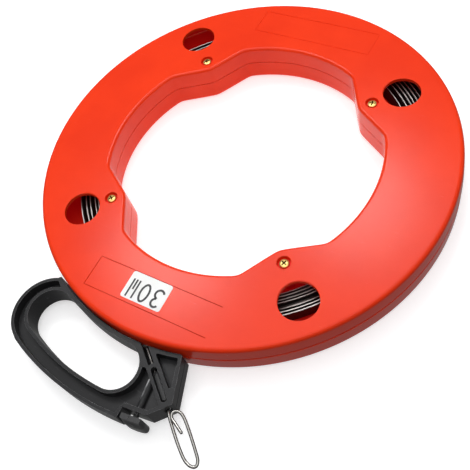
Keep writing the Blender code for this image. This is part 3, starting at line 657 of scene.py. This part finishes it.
def bore_lip(bore, side):
    """Edge of a shell at the seam in the bore."""
    seam = SEAM_Z + side * SEAM_GAP / 2
    return [(bore, seam + side * 0.25 * MM), (bore + 0.25 * MM, seam), (bore + WALL, seam)]


def front_section(degrees):
    bore = bore_radius(degrees)
    rim = CASE_R - RIM_DRAFT
    shoulder = SEAM_Z + RIM_WALL_H
    bore_top = face_height(bore + BORE_EDGE_R)
    outline = rim_lip(1)
    outline += arc((rim - RIM_EDGE_R, shoulder), RIM_EDGE_R, 0.0, 90.0, 10)
    outline += arc((bore + BORE_EDGE_R, bore_top - BORE_EDGE_R), BORE_EDGE_R, 90.0, 180.0, 9)
    outline += bore_lip(bore, 1)
    outline.append((bore + WALL, bore_top - WALL - 0.6 * MM))
    outline.append((rim - WALL, shoulder + RIM_EDGE_R - WALL))
    outline.append((CASE_R - WALL, SEAM_Z + RIM_SLOT / 2))
    return outline


def back_section(degrees):
    bore = bore_radius(degrees)
    rim = CASE_R - RIM_DRAFT
    outline = rim_lip(-1)
    outline += arc((rim - RIM_EDGE_R, RIM_EDGE_R), RIM_EDGE_R, 0.0, -90.0, 10)
    outline += arc((bore + BORE_EDGE_R, BORE_EDGE_R), BORE_EDGE_R, -90.0, -180.0, 9)
    outline += bore_lip(bore, -1)
    outline += [(bore + WALL, WALL), (rim - WALL, WALL), (CASE_R - WALL, SEAM_Z - RIM_SLOT / 2)]
    return outline


def ring_shell(section):
    bm = bmesh.new()
    rings = []
    for degrees in ring_angles():
        ring = []
        for radius, height in section(degrees):
            x, y = polar(radius, degrees)
            ring.append(bm.verts.new((x, y, height)))
        rings.append(ring)
    for one, two in zip(rings, rings[1:] + rings[:1]):
        skin(bm, one, two)
    return object_from_bmesh(bm)


def flared_hole(radius, flare, spot, bottom, segments):
    """A cutter for a round hole in the front face whose rim is rounded off; spot is polar."""
    x, y = polar(*spot)
    top = face_height(spot[0])
    profile = [(0.0, bottom - top), (radius, bottom - top), (radius, -flare)]
    profile += [(radius + flare - a, -flare + b) for a, b in arc((0.0, 0.0), flare, 0.0, 90.0, 6)[1:]]
    profile += [(radius + flare, 4.0 * MM), (0.0, 4.0 * MM)]
    return turned(profile, segments, (x, y, top), (x, y, top + 1.0))


def line_inside(cover):
    """The inner side of a shell is duller and carries a painted red emission that stands in for a little
    light let through the plastic.
    """
    skin_t = WALL - 0.2 * MM
    cover.data.materials.append(RED_INSIDE_PAINTED_GLOW)
    for face in cover.data.polygons:
        place = face.center - AXIS
        radius = math.hypot(place.x, place.y)
        inner = bore_radius(math.degrees(math.atan2(place.y, place.x))) + skin_t
        if inner < radius < CASE_R - RIM_DRAFT - skin_t and skin_t < place.z < face_height(radius) - skin_t:
            face.material_index = 1


def face_normals(item):
    """Give the sloped face its exact normals, so that the cuts in it leave no shading marks."""
    bpy.context.view_layer.update()
    shaded = item.evaluated_get(bpy.context.evaluated_depsgraph_get())
    normals = [corner.vector.copy() for corner in shaded.to_mesh().corner_normals]
    shaded.to_mesh_clear()
    mesh = item.data
    for face in mesh.polygons:
        for loop in face.loop_indices:
            place = mesh.vertices[mesh.loops[loop].vertex_index].co - AXIS
            radius = math.hypot(place.x, place.y)
            if face.normal.z > 0.999 and abs(place.z - face_height(radius)) < 0.00001:
                slope = FACE_SLOPE / radius
                normals[loop] = Vector((slope * place.x, slope * place.y, 1.0)).normalized()
    item.modifiers.clear()
    mesh.normals_split_custom_set(normals)


def panel_lines():
    """Fine sunk lines that frame the sticker's field on three sides, and faintly the same field opposite."""
    lines = []
    steps = 24
    half = PANEL_LINE_W / 2
    section = [(-half, 0.0), (half, 0.0), (half, 1.5 * MM), (-half, 1.5 * MM)]
    for sign, depth, sides in ((-1.0, 1.1 * MM, (0, 2, 3)), (1.0, 0.25 * MM, (0, 1, 2, 3))):
        y_in = sign * PANEL_IN
        y_out = sign * PANEL_OUT
        corners = [(-PANEL_HALF, y_in), (PANEL_HALF, y_in), (PANEL_HALF, y_out), (-PANEL_HALF, y_out)]
        for side in sides:
            start = Vector(corners[side])
            end = Vector(corners[(side + 1) % 4])
            points = []
            for step in range(steps + 1):
                x, y = start + (end - start) * (step / steps)
                points.append((x, y, face_height(math.hypot(x, y)) - depth))
            lines.append(sweep(points, section))
    return lines


def make_front_cover():
    cover = ring_shell(front_section)
    bosses = []
    holes = []
    for diagonal, window_ring_r in zip(DIAGONALS, WINDOW_RADII):
        x, y = polar(SCREW_RING_R, diagonal)
        foot = (x, y, SEAM_Z + SEAM_GAP / 2)
        head = (x, y, face_height(SCREW_RING_R) - 1.0 * MM)
        bosses.append(cylinder(BOSS_R, foot, head))
        spot = (SCREW_RING_R, diagonal)
        holes.append(flared_hole(COUNTERBORE_R, 0.35 * MM, spot, COUNTERBORE_FLOOR_Z, 64))
        holes.append(cylinder(SCREW_HOLE_R, (x, y, 0.01), (x, y, 0.04), 24))
        spot = (window_ring_r, diagonal)
        holes.append(flared_hole(WINDOW_R - 0.25 * MM, 0.45 * MM, spot, SEAM_Z + 5 * MM, 120))
    cover = cut(join(cover, *bosses), *holes)
    cover = cut(cover, *panel_lines())
    cover = finish(cover, "front_shell", RED, "case", "front_cover", 28.0)
    face_normals(cover)
    line_inside(cover)


def make_back_cover():
    """Plain back shell whose bosses take the screws."""
    cover = ring_shell(back_section)
    bosses = []
    holes = []
    for diagonal in DIAGONALS:
        x, y = polar(SCREW_RING_R, diagonal)
        head = (x, y, SEAM_Z - SEAM_GAP / 2)
        bosses.append(cylinder(BOSS_R - 2 * MM, (x, y, WALL / 2), head))
        holes.append(cylinder(SCREW_HOLE_R, (x, y, 5.7 * MM), (x, y, 0.04), 24))
    cover = cut(join(cover, *bosses), *holes)
    line_inside(finish(cover, "back_shell", RED, "case", "back_cover", 28.0))


# Half section of a screw's head in mm: radius, and height above the seat
SCREW_HEAD = (
    (1.4, 0.0), (3.0, 0.0), (3.2, 0.2), (3.2, 1.3), (3.14, 1.62), (2.95, 1.9), (2.6, 2.1), (1.9, 2.28),
    (1.0, 2.37), (0.0, 2.4),
)


def recess_arm(place, angle):
    """One bar of a screw's cross recess, narrower at its foot."""
    bm = bmesh.new()
    rings = []
    for x, y, height in in_mm((1.1, 0.32, -1.4), (2.2, 0.58, 0.3)):
        corners = ((-x, -y, height), (x, -y, height), (x, y, height), (-x, y, height))
        rings.append([bm.verts.new(corner) for corner in corners])
    skin_rings(bm, rings)
    arm = object_from_bmesh(bm)
    arm.matrix_world = Matrix.Translation(place) @ Matrix.Rotation(math.radians(angle), 4, "Z")
    return arm


def make_screw(index, diagonal):
    """Pan head screw with a cross recess and a threaded shank."""
    x, y = polar(SCREW_RING_R, diagonal)
    seat = COUNTERBORE_FLOOR_Z + 0.3 * MM
    profile = in_mm((0.0, 6.0), (0.7, 6.6), (1.3, 7.6))
    height = 8.0 * MM
    while height < 22.0 * MM:
        profile += [(1.15 * MM, height), (1.5 * MM, height + 0.45 * MM)]
        height += 0.9 * MM
    profile.append((1.4 * MM, seat - 1.0 * MM))
    profile += [(radius, seat + rise) for radius, rise in in_mm(*SCREW_HEAD)]
    top = profile[-1][1]
    screw = turned(profile, 56, (x, y, 0.0), (x, y, 1.0))
    angle = 20.0 * index + 10.0
    screw = cut(screw, join(recess_arm((x, y, top), angle), recess_arm((x, y, top), angle + 90.0)))
    name = f"screw_{index + 1}"
    screw = finish(screw, name, BRASS, "case", f"case_{name}", 25.0)
    # Faces inside the cross recess take the darker brown material.
    screw.data.materials.append(RECESS_DARK_BROWN)
    for face in screw.data.polygons:
        place = face.center - AXIS - Vector((x, y, 0.0))
        across = math.hypot(place.x, place.y)
        if across < 2.45 * MM and seat + 0.5 * MM < place.z < top - 0.2 * MM - 0.05 * across:
            face.material_index = 1


# ---------------- wound tape

def tape_section():
    """Rounded-edge rectangle: thickness across, width up."""
    t = TAPE_T / 2
    w = TAPE_W / 2
    inner_t = t - 0.6 * TAPE_CORNER
    inner_w = w - TAPE_CORNER
    return [(-t, -inner_w), (-inner_t, -w), (inner_t, -w), (t, -inner_w), (t, inner_w), (inner_t, w),
            (-inner_t, w), (-t, inner_w)]


def smooth_values(values, t):
    """Catmull-Rom value of a list at a fractional place."""
    last = len(values) - 1
    index = min(int(t), last - 1)
    f = t - index
    a = values[max(index - 1, 0)]
    b = values[index]
    c = values[index + 1]
    d = values[min(index + 2, last)]
    return b + 0.5 * ((c - a) * f + (2 * a - 5 * b + 4 * c - d) * f * f + (3 * b - a - 3 * c + d) * f ** 3)


# Radii in mm of the top turns at the four diagonals (45, 135, 225 and 315 degrees)
TOP_TURNS = (
    (135.2, 128.2, 122.6, 126.9), (132.1, 124.6, 118.8, 124.9), (129.3, 122.2, 115.9, 121.5),
    (126.6, 119.0, 112.0, 118.7), (123.9, 115.4, 109.8, 116.7), (120.9, 112.4, 108.6, 114.3),
    (116.8, 110.2, 107.6, 112.4),
)


def make_coil():
    """One long ribbon, wound in loose layers from the floor of the case upwards."""
    radii = []
    heights = []
    rolls = []
    top_layer = COIL_LAYERS - 1
    for layer in range(COIL_LAYERS):
        turns = TOP_TURNS if layer % 2 == 0 else TOP_TURNS[::-1]
        for number, turn in enumerate(turns):
            for quarter, radius in enumerate(turn):
                seed = Vector((layer * 3.1, number * 1.7, quarter * 2.3))
                wander = noise.noise(seed) * 0.8 if layer < top_layer else 0.0
                shift = (top_layer - layer) * (-0.7 if quarter == 3 else 0.3)
                radii.append(max(COIL_LIMITS[0], min(COIL_LIMITS[1], radius + wander + shift)))
                heights.append(4.6 + 3.26 * layer + 0.25 * noise.noise(seed + Vector((9.0, 0.0, 0.0))))
                rolls.append(7.0 * noise.noise(seed + Vector((0.0, 9.0, 0.0))))
    # The turn that lies flat in the third window, and the end that runs on out of sight
    flat_place = len(radii) - 4 * len(TOP_TURNS) + 4 * 2 + 3
    radii.append(110.4)
    heights.append(heights[-1])
    rolls.append(0.0)
    steps = 26
    points = []
    turns = []
    for index in range(int((len(radii) - 1.5) * steps) + 1):
        t = index / steps
        x, y = polar(smooth_values(radii, t) * MM, 45.0 + 90.0 * t)
        points.append((x, y, smooth_values(heights, t) * MM))
        flat = 64.0 * math.exp(-((t - flat_place) / 0.16) ** 2)
        turns.append(smooth_values(rolls, t) + flat)
    coil = sweep(points, tape_section(), turns)
    finish(coil, "wound_tape", TAPE, "case", "tape_coil", 40.0, weighted=False)


def channel_point(along, across=0.0):
    """A plan point counted along and across the grip's tape channel."""
    ux = math.cos(CHANNEL_ANGLE)
    uy = math.sin(CHANNEL_ANGLE)
    return (CHANNEL_START[0] + along * ux - across * uy, CHANNEL_START[1] + along * uy + across * ux)


def channel_place(along, across=0.0, height=SEAM_Z):
    return (*channel_point(along, across), height)


def ease(t):
    """Smooth step from 0 to 1."""
    t = min(1.0, max(0.0, t))
    return t * t * (3 - 2 * t)


def make_tape_lead():
    """Tape from the coil through the rim slot: it lies flat in the slot and stands up in the grip."""
    slot_end = -97.0
    path = arc((0.0, 0.0), 141.7 * MM, -140.0, slot_end, 30)
    start = Vector(path[-1])
    end = Vector(channel_point(-8.0 * MM))
    leave = Vector(polar(1.0, slot_end + 90.0))
    arrive = Vector((math.cos(CHANNEL_ANGLE), math.sin(CHANNEL_ANGLE)))
    first = start + leave * 8.0 * MM
    second = end - arrive * 8.0 * MM
    for index in range(1, 25):
        t = index / 24
        s = 1.0 - t
        path.append(tuple(s ** 3 * start + 3 * s * s * t * first + 3 * s * t * t * second + t ** 3 * end))
    for index in range(1, 34):
        path.append(channel_point((-8.0 + 0.5 * index) * MM))
    rolls = []
    for index in range(len(path)):
        rolls.append(90.0 * (ease((index - 39) / 13.0) - ease((index - 65) / 5.5)))
    points = [(x, y, SEAM_Z) for x, y in path]
    lead = sweep(points, tape_section(), rolls)
    # Painted shade: the darker copy of the tape material.
    finish(lead, "lead_tape", TAPE_PAINTED_SHADE, "handle", "tape_lead", 40.0, weighted=False)


def make_tape_end():
    """Tape between the gate and the sleeve."""
    points = [channel_place((8.9 + 0.2 * index) * MM) for index in range(42)]
    end = sweep(points, tape_section())
    # Painted shade: the darker copy of the tape material.
    finish(end, "channel_tape", TAPE_PAINTED_SHADE, "pull_end", "tape_end", 40.0, weighted=False)


def make_ferrule():
    """Flattened sleeve with rounded ends and three shallow crimps; its sizes are in mm."""
    start = 16.3
    end = 36.5
    end_r = 1.4
    corner_r = 0.85
    steps = 110
    flat = arc((0.0, 0.0), 1.0, 0.0, 360.0, 40)[:-1]
    points = []
    shrinks = []
    for index in range(steps + 1):
        t = index / steps
        edge = min(t, 1.0 - t) * (end - start)
        shrink = 0.0
        if edge < end_r:
            shrink = end_r - math.sqrt(max(0.0, end_r ** 2 - (end_r - edge) ** 2))
        crimp = sum(0.10 * math.exp(-((t - waist) / 0.012) ** 2) for waist in (0.30, 0.5, 0.70))
        points.append(channel_place((start + (end - start) * t) * MM))
        shrinks.append((min(shrink, 1.3), min(shrink, 0.9) * 0.6 + crimp))

    def section(index):
        wide = 1.6 - shrinks[index][0]
        high = 1.2 - shrinks[index][1]
        size = min(corner_r, wide, high)
        outline = []
        for x, y in flat:
            across = math.copysign(wide - size, x) + size * x
            up = math.copysign(high - size, y) + size * y
            outline.append((across * MM, up * MM))
        return outline

    sleeve = sweep(points, section)
    finish(sleeve, "crimp_sleeve", BUTTON_BLACK, "pull_end", "tape_ferrule", 50.0)


# Bends of the hook in mm: along the channel, across it, and above its middle
HOOK_STATIONS = (
    (36.8, 0.0, 0.0), (41.0, 0.0, 0.0), (45.0, -0.6, 0.0), (52.0, -1.0, 0.0), (62.0, -1.2, 0.0),
    (69.0, -1.0, 0.0), (73.5, -0.6, 0.0), (76.5, 0.2, 0.0), (79.0, 1.6, 0.0), (80.4, 3.6, 0.1),
    (80.0, 5.4, 0.2), (78.0, 6.6, 0.3), (75.0, 7.1, 0.5), (66.0, 7.6, 1.2), (57.0, 7.8, 1.8),
    (52.0, 7.6, 2.1), (49.0, 6.9, 2.3), (47.0, 5.5, 2.3), (46.1, 3.6, 2.3), (46.5, 1.9, 2.3),
    (48.0, 1.0, 2.3), (50.0, 0.9, 2.3), (54.0, 1.9, 2.3), (60.6, 3.5, 2.3),
)


def make_hook():
    """One bent wire with rounded ends."""
    points = []
    steps = 10
    for index in range((len(HOOK_STATIONS) - 1) * steps + 1):
        t = index / steps
        along, across, lift = (smooth_values([s[axis] for s in HOOK_STATIONS], t) for axis in range(3))
        points.append(Vector(channel_place(along * MM, across * MM, SEAM_Z + lift * MM)))
    lengths = [0.0]
    for one, two in zip(points, points[1:]):
        lengths.append(lengths[-1] + (two - one).length)

    def section(index):
        edge = min(lengths[index], lengths[-1] - lengths[index])
        size = HOOK_WIRE_R
        if edge < size:
            size = math.sqrt(max(size ** 2 - (size - edge) ** 2, (0.12 * MM) ** 2))
        return [polar(size, 18.0 * number) for number in range(20)]

    hook = sweep(points, section)
    finish(hook, "wire_hook", WIRE, "pull_end", "pull_hook", 60.0, weighted=False)


# ---------------- grip

def brake_point(across, along):
    """A plan point counted from the nose's tip, across and along the button's press direction."""
    ex = (math.cos(BRAKE_TILT), math.sin(BRAKE_TILT))
    ey = (-math.sin(BRAKE_TILT), math.cos(BRAKE_TILT))
    return (NOSE_TIP[0] + across * ex[0] + along * ey[0], NOSE_TIP[1] + across * ex[1] + along * ey[1])


def rod_place(along):
    """A point on the brake rod's middle line."""
    return (*brake_point(ROD_ACROSS, along), SEAM_Z)


def rounded_outline(outline, radii):
    """Round chosen corners of an outline; radii maps a corner's index to its radius."""
    result = []
    steps = 6
    for index, corner in enumerate(outline):
        radius = radii.get(index, 0.0)
        if radius == 0.0:
            result.append(corner)
            continue
        corner = Vector(corner)
        before = (Vector(outline[index - 1]) - corner).normalized()
        after = (Vector(outline[(index + 1) % len(outline)]) - corner).normalized()
        half = before.angle(after) / 2
        reach = radius / math.tan(half)
        centre = corner + (before + after).normalized() * (radius / math.sin(half))
        start = corner + before * reach - centre
        end = corner + after * reach - centre
        for step in range(steps + 1):
            spot = start.lerp(end, step / steps).normalized() * radius
            result.append(tuple(centre + spot))
    return result


LOOP_CENTRE = polar(LOOP_CENTRE_R, LOOP_ANGLE)
FINGER_LEFT = polar(FINGER_MID_R, FINGER_START)
FINGER_RIGHT = polar(FINGER_MID_R, FINGER_END)


def grip_outline():
    outline = arc((0.0, 0.0), GRIP_SADDLE_R, -118.2, -75.9, 48)
    nose_start = len(outline)
    outline += [NOSE_SHOULDER, brake_point(0.2 * MM, -0.5 * MM), brake_point(-16.4 * MM, -0.5 * MM)]
    outline += arc((0.0, 0.0), GRIP_OUTER_R, -84.2, LOOP_ANGLE, 36)
    outline += arc(LOOP_CENTRE, LOOP_R, LOOP_ANGLE + 352.0, 110.0, 60)
    radii = {-1: 1.2 * MM, 0: 1.6 * MM, 1: 0.9 * MM, 3: 1.0 * MM}
    return rounded_outline(outline, {0: 1.0 * MM, **{nose_start + corner: radii[corner] for corner in radii}})


def finger_outline():
    outline = arc((0.0, 0.0), FINGER_MID_R - FINGER_HALF, FINGER_START, FINGER_END, 30)
    outline += arc(FINGER_RIGHT, FINGER_HALF, FINGER_END + 180.0, FINGER_END, 36)[1:]
    outline += arc((0.0, 0.0), FINGER_MID_R + FINGER_HALF, FINGER_END, FINGER_START, 30)[1:]
    outline += arc(FINGER_LEFT, FINGER_HALF, FINGER_START, FINGER_START - 180.0, 36)[1:-1]
    return outline


def long_pocket():
    """The pocket that runs round the finger opening between the grip's ribs."""
    inner = FINGER_HALF + GRIP_RIB
    outline = arc(LOOP_CENTRE, LOOP_R - GRIP_RIB, 108.0, LOOP_ANGLE + 360.0, 50)
    outline += arc((0.0, 0.0), GRIP_OUTER_R - GRIP_RIB, LOOP_ANGLE + 1.0, -84.9, 36)
    outline += [brake_point(-16.5 * MM, GRIP_RIB), brake_point(-0.2 * MM, GRIP_RIB)]
    outline += [channel_point(40.3 * MM, -3.3 * MM), channel_point(14.0 * MM, -3.7 * MM)]
    outline += arc(FINGER_RIGHT, inner, 20.0, FINGER_END, 24)
    outline += arc((0.0, 0.0), FINGER_MID_R + inner, FINGER_END - 1.0, FINGER_START + 1.0, 26)
    outline += arc(FINGER_LEFT, inner, FINGER_START + 360.0, 102.0, 40)
    return outline


def side_pocket():
    """The three-cornered pocket in the nose."""
    corners = in_mm((20.3, -152.5), (42.3, -170.3), (35.5, -149.3))
    return rounded_outline(corners, {0: 0.8 * MM, 1: 1.2 * MM, 2: 1.5 * MM})


def ferrule_pocket():
    low = -1.7 * MM
    high = 2.5 * MM
    half = (high - low) / 2
    middle = (low + high) / 2
    heading = math.degrees(CHANNEL_ANGLE)
    outline = arc(channel_point(15.7 * MM + half, middle), half, heading + 90.0, heading + 270.0, 24)
    outline += arc(channel_point(39.5 * MM - half, middle), half, heading - 90.0, heading + 90.0, 24)
    return outline


def channel_box(start, end, width, bottom, top):
    spots = ((start, -0.5), (end, -0.5), (end, 0.5), (start, 0.5))
    return prism([[channel_point(along, width * across) for along, across in spots]], bottom, top)


def ring_band(radii, span, bottom, top):
    steps = round(span[1] - span[0])
    outline = arc((0.0, 0.0), radii[0], span[0], span[1], steps)
    outline += arc((0.0, 0.0), radii[1], span[1], span[0], steps)
    return prism([outline], bottom, top)


def nose_seam():
    """Mould parting line along the wall of the nose."""
    top = Vector(polar(GRIP_SADDLE_R, -75.9))
    shoulder = Vector(NOSE_SHOULDER)
    along = (shoulder - top).normalized()
    out = Vector((-along.y, along.x))
    start = top + along * 2.0 * MM
    end = shoulder - along * 0.8 * MM
    inward = out * 0.5 * MM
    corners = [start - inward, end - inward, end + out * MM, start + out * MM]
    return prism([[tuple(corner) for corner in corners]], SEAM_Z - 2.3 * MM, SEAM_Z - 1.7 * MM)


def make_grip():
    """I-section handle with a T-shaped foot that runs in the rim slot, and the tape's channel."""
    above = GRIP_FRONT_Z + MM
    under = GRIP_BACK_Z - MM
    channel_floor = SEAM_Z - 2.3 * MM
    body = prism([grip_outline(), finger_outline()], GRIP_BACK_Z, GRIP_FRONT_Z)
    pockets = []
    for outline in (long_pocket(), side_pocket()):
        pockets.append(prism([outline], WEB_FRONT_Z, above))
        pockets.append(prism([outline], under, WEB_BACK_Z))
    pockets.append(prism([ferrule_pocket()], channel_floor, above))
    body = bevel(dissolve_flats(cut(body, *pockets)), 0.55 * MM)
    tube = (rod_place(MM), rod_place(21.0 * MM))
    body = join(body, cylinder(2.2 * MM, *tube, 40))
    for span in ((-117.0, -94.5), (-83.0, -77.5)):
        stem_span = (span[0] + 0.5, span[1] - 0.5)
        stem_radii = (145.4 * MM, 152.0 * MM)
        flange_radii = (144.4 * MM, 146.9 * MM)
        stem = ring_band(stem_radii, stem_span, SEAM_Z - 0.4 * MM, SEAM_Z + 0.4 * MM)
        flange = ring_band(flange_radii, span, SEAM_Z - 3.5 * MM, SEAM_Z + 3.5 * MM)
        body = join(join(body, stem), bevel(flange, 0.3 * MM, 2))
    near, far = CLIP_ROOM
    corners = ((-CLIP_ROOM_R, near), (CLIP_ROOM_R, near), (CLIP_ROOM_R, far), (-CLIP_ROOM_R, far))
    window = [brake_point(ROD_ACROSS + across, along) for across, along in corners]
    chamber = (rod_place(near), rod_place(far))
    bore = (rod_place(-2 * MM), rod_place(24.0 * MM))
    # Entry slot, gate, exit hole and its mouth, rod bore, clip window, parting line and clip room
    body = cut(
        body,
        channel_box(-6.0 * MM, 13.4 * MM, 3.8 * MM, channel_floor, above),
        channel_box(12.0 * MM, 17.5 * MM, 1.8 * MM, SEAM_Z - 2.0 * MM, SEAM_Z + 2.0 * MM),
        cylinder(2.0 * MM, channel_place(37.5 * MM), channel_place(47.5 * MM), 40),
        channel_box(42.2 * MM, 49.0 * MM, 5.0 * MM, SEAM_Z - 2.2 * MM, SEAM_Z + 3.0 * MM),
        cylinder(ROD_HOLE_R, *bore, 32),
        prism([window], under, SEAM_Z),
        nose_seam(),
        cylinder(CLIP_ROOM_R, *chamber, 32))
    finish(body, "grip_body", BLACK, "handle", "grip")


# Button's outline in mm, across the notch and along the press direction: at its flat front end and at
# the thumb face
BUTTON_NEAR = (
    (-2.10, -3.6), (-2.12, -4.2), (-2.15, -5.0), (-2.20, -5.8), (-2.30, -6.7), (-2.60, -6.8), (-5.0, -6.8),
    (-9.0, -6.8), (-12.8, -6.8), (-14.6, -6.8), (-15.3, -6.7), (-15.5, -6.2), (-15.5, -5.0), (-15.5, -3.6),
)
BUTTON_FAR = (
    (-2.10, -3.6), (-1.30, -4.3), (-0.95, -5.0), (-0.80, -6.0), (-1.10, -7.2), (-2.40, -8.2), (-5.0, -8.65),
    (-9.0, -8.75), (-12.8, -8.5), (-14.4, -7.8), (-15.1, -7.0), (-15.5, -6.2), (-15.5, -5.0), (-15.5, -3.6),
)


def make_button():
    """Push button: flat at its front end, with an outer side that swells to a thumb face further down."""
    bottom = GRIP_BACK_Z + 0.3 * MM
    top = GRIP_FRONT_Z - 0.3 * MM
    steps = 5
    levels = 26
    bm = bmesh.new()
    rings = []
    for level in range(levels + 1):
        height = top + (bottom - top) * level / levels
        swell = ease((top - height) / (7.5 * MM)) * (1.0 - 0.06 * (level / levels) ** 4)
        ring = []
        for index in range((len(BUTTON_NEAR) - 1) * steps + 1):
            spot = []
            for axis in range(2):
                near = smooth_values([pair[axis] for pair in BUTTON_NEAR], index / steps)
                far = smooth_values([pair[axis] for pair in BUTTON_FAR], index / steps)
                spot.append((near + (far - near) * swell) * MM)
            ring.append(bm.verts.new((*brake_point(*spot), height)))
        rings.append(ring)
    skin_rings(bm, rings)
    button = bevel(object_from_bmesh(bm), 0.4 * MM, 3, 60.0)
    x, y = brake_point(-9.9 * MM, -5.2 * MM)
    mark = in_mm((0.0, -0.35), (0.45, -0.3), (0.75, 0.0), (0.9, 0.3), (0.0, 0.3))
    mouth = rod_place(0.0)
    button = cut(
        button,
        turned(mark, 28, (x, y, top), (x, y, top + 1.0)),
        cylinder(2.35 * MM, rod_place(-6.2 * MM), mouth, 40))
    button = cut(button, cylinder(ROD_HOLE_R, rod_place(-8.2 * MM), mouth, 32))
    finish(button, "thumb_button", BUTTON_BLACK, "brake", "brake_button", 35.0)


def make_spring():
    coils = 3.5
    coil_r = 1.7 * MM
    steps = 140
    curve = bpy.data.curves.new("spring", "CURVE")
    curve.dimensions = "3D"
    curve.bevel_depth = 0.25 * MM
    curve.bevel_resolution = 3
    curve.use_fill_caps = True
    spline = curve.splines.new("POLY")
    spline.points.add(steps)
    for index, point in enumerate(spline.points):
        t = index / steps
        angle = 2 * math.pi * coils * t
        x, y = brake_point(ROD_ACROSS + coil_r * math.cos(angle), (-1.1 - 2.3 * t) * MM)
        point.co = (x, y, SEAM_Z + coil_r * math.sin(angle), 1.0)
    item = as_mesh(linked("spring", curve))
    finish(item, "return_spring", DARK_STEEL, "handle", "brake_spring", 60.0, weighted=False)


# ---------------- sticker

def label_frame(lift):
    """Placement on the sloping face at the middle of the sticker."""
    x, y = LABEL_CENTRE
    tilt = Matrix.Rotation(math.atan(FACE_SLOPE), 4, "X")
    height = face_height(abs(y)) + 0.3 * MM + lift
    return Matrix.Translation((x, y, height)) @ tilt


def make_label():
    corner = 1.8 * MM
    outline = []
    for sign_x, sign_y, start in ((1, 1, 0.0), (-1, 1, 90.0), (-1, -1, 180.0), (1, -1, 270.0)):
        centre = (sign_x * (LABEL_HALF_X - corner), sign_y * (LABEL_HALF_Y - corner))
        outline += arc(centre, corner, start, start + 90.0, 10)
    label = bevel(prism([outline], 0.0, LABEL_T), 0.06 * MM, 2)
    label.matrix_world = label_frame(0.01 * MM - LABEL_T)
    finish(label, "sticker", LABEL, "case", "length_label")


def stroke(bm, points, width):
    """A flat ink stroke of even width along a line of points."""
    points = [Vector(point) for point in points]
    left = []
    right = []
    for index, point in enumerate(points):
        heading = heading_at(points, index)
        side = Vector((-heading.y, heading.x)) * (width / 2)
        left.append(bm.verts.new((*(point + side), 0.0)))
        right.append(bm.verts.new((*(point - side), 0.0)))
    for index in range(len(points) - 1):
        bm.faces.new((left[index], right[index], right[index + 1], left[index + 1]))


def bow(centre, radii, start, step, count):
    """Points on an ellipse, with the angles in degrees."""
    angles = [math.radians(start + step * index) for index in range(count)]
    return [(centre[0] + radii[0] * math.cos(a), centre[1] + radii[1] * math.sin(a)) for a in angles]


def make_ink():
    """Plain length marking in mm: the numerals 30 and a group of scale strokes."""
    bm = bmesh.new()
    three = -9.8
    zero = 0.4
    strokes = [
        (bow((0.2 + three, 3.15), (2.75, 2.85), 150.0, -9.6, 25), 1.45),
        (bow((three, -2.9), (3.05, 3.1), 82.0, -9.9, 25), 1.45),
        (bow((zero, 0.0), (2.95, 6.0), 0.0, 7.5, 49), 1.45),
    ]
    strokes += [([(x, -6.6), (x, high)], 1.2) for x, high in ((7.2, 6.6), (9.5, 0.6), (11.8, 6.6))]
    for points, width in strokes:
        stroke(bm, [(-x * MM, -(y + 1.9) * MM) for x, y in points], width * MM)
    ink = object_from_bmesh(bm)
    solid = ink.modifiers.new("thickness", "SOLIDIFY")
    solid.thickness = 0.02 * MM
    solid.offset = 0.0
    ink = as_mesh(ink, weld=0.0000001)
    ink.matrix_world = label_frame(0.025 * MM)
    finish(ink, "sticker_print", INK, "case", weighted=False)


def dress_cad(node, material):
    """A CAD part whose shape is right keeps it and takes the finished material."""
    for slot in bpy.data.objects[node].material_slots:
        slot.material = material


make_camera()
make_floor()
make_light()
make_front_cover()
make_back_cover()
for screw_index, screw_diagonal in enumerate(DIAGONALS):
    make_screw(screw_index, screw_diagonal)
make_coil()
make_tape_lead()
make_tape_end()
make_ferrule()
make_hook()
make_grip()
make_button()
make_spring()
make_label()
make_ink()
dress_cad("brake_rod", BUTTON_BLACK)
dress_cad("brake_pad", RUBBER)
for steel_part in ("rod_clip", "tape_anchor", "anchor_rivet"):
    dress_cad(steel_part, WIRE)
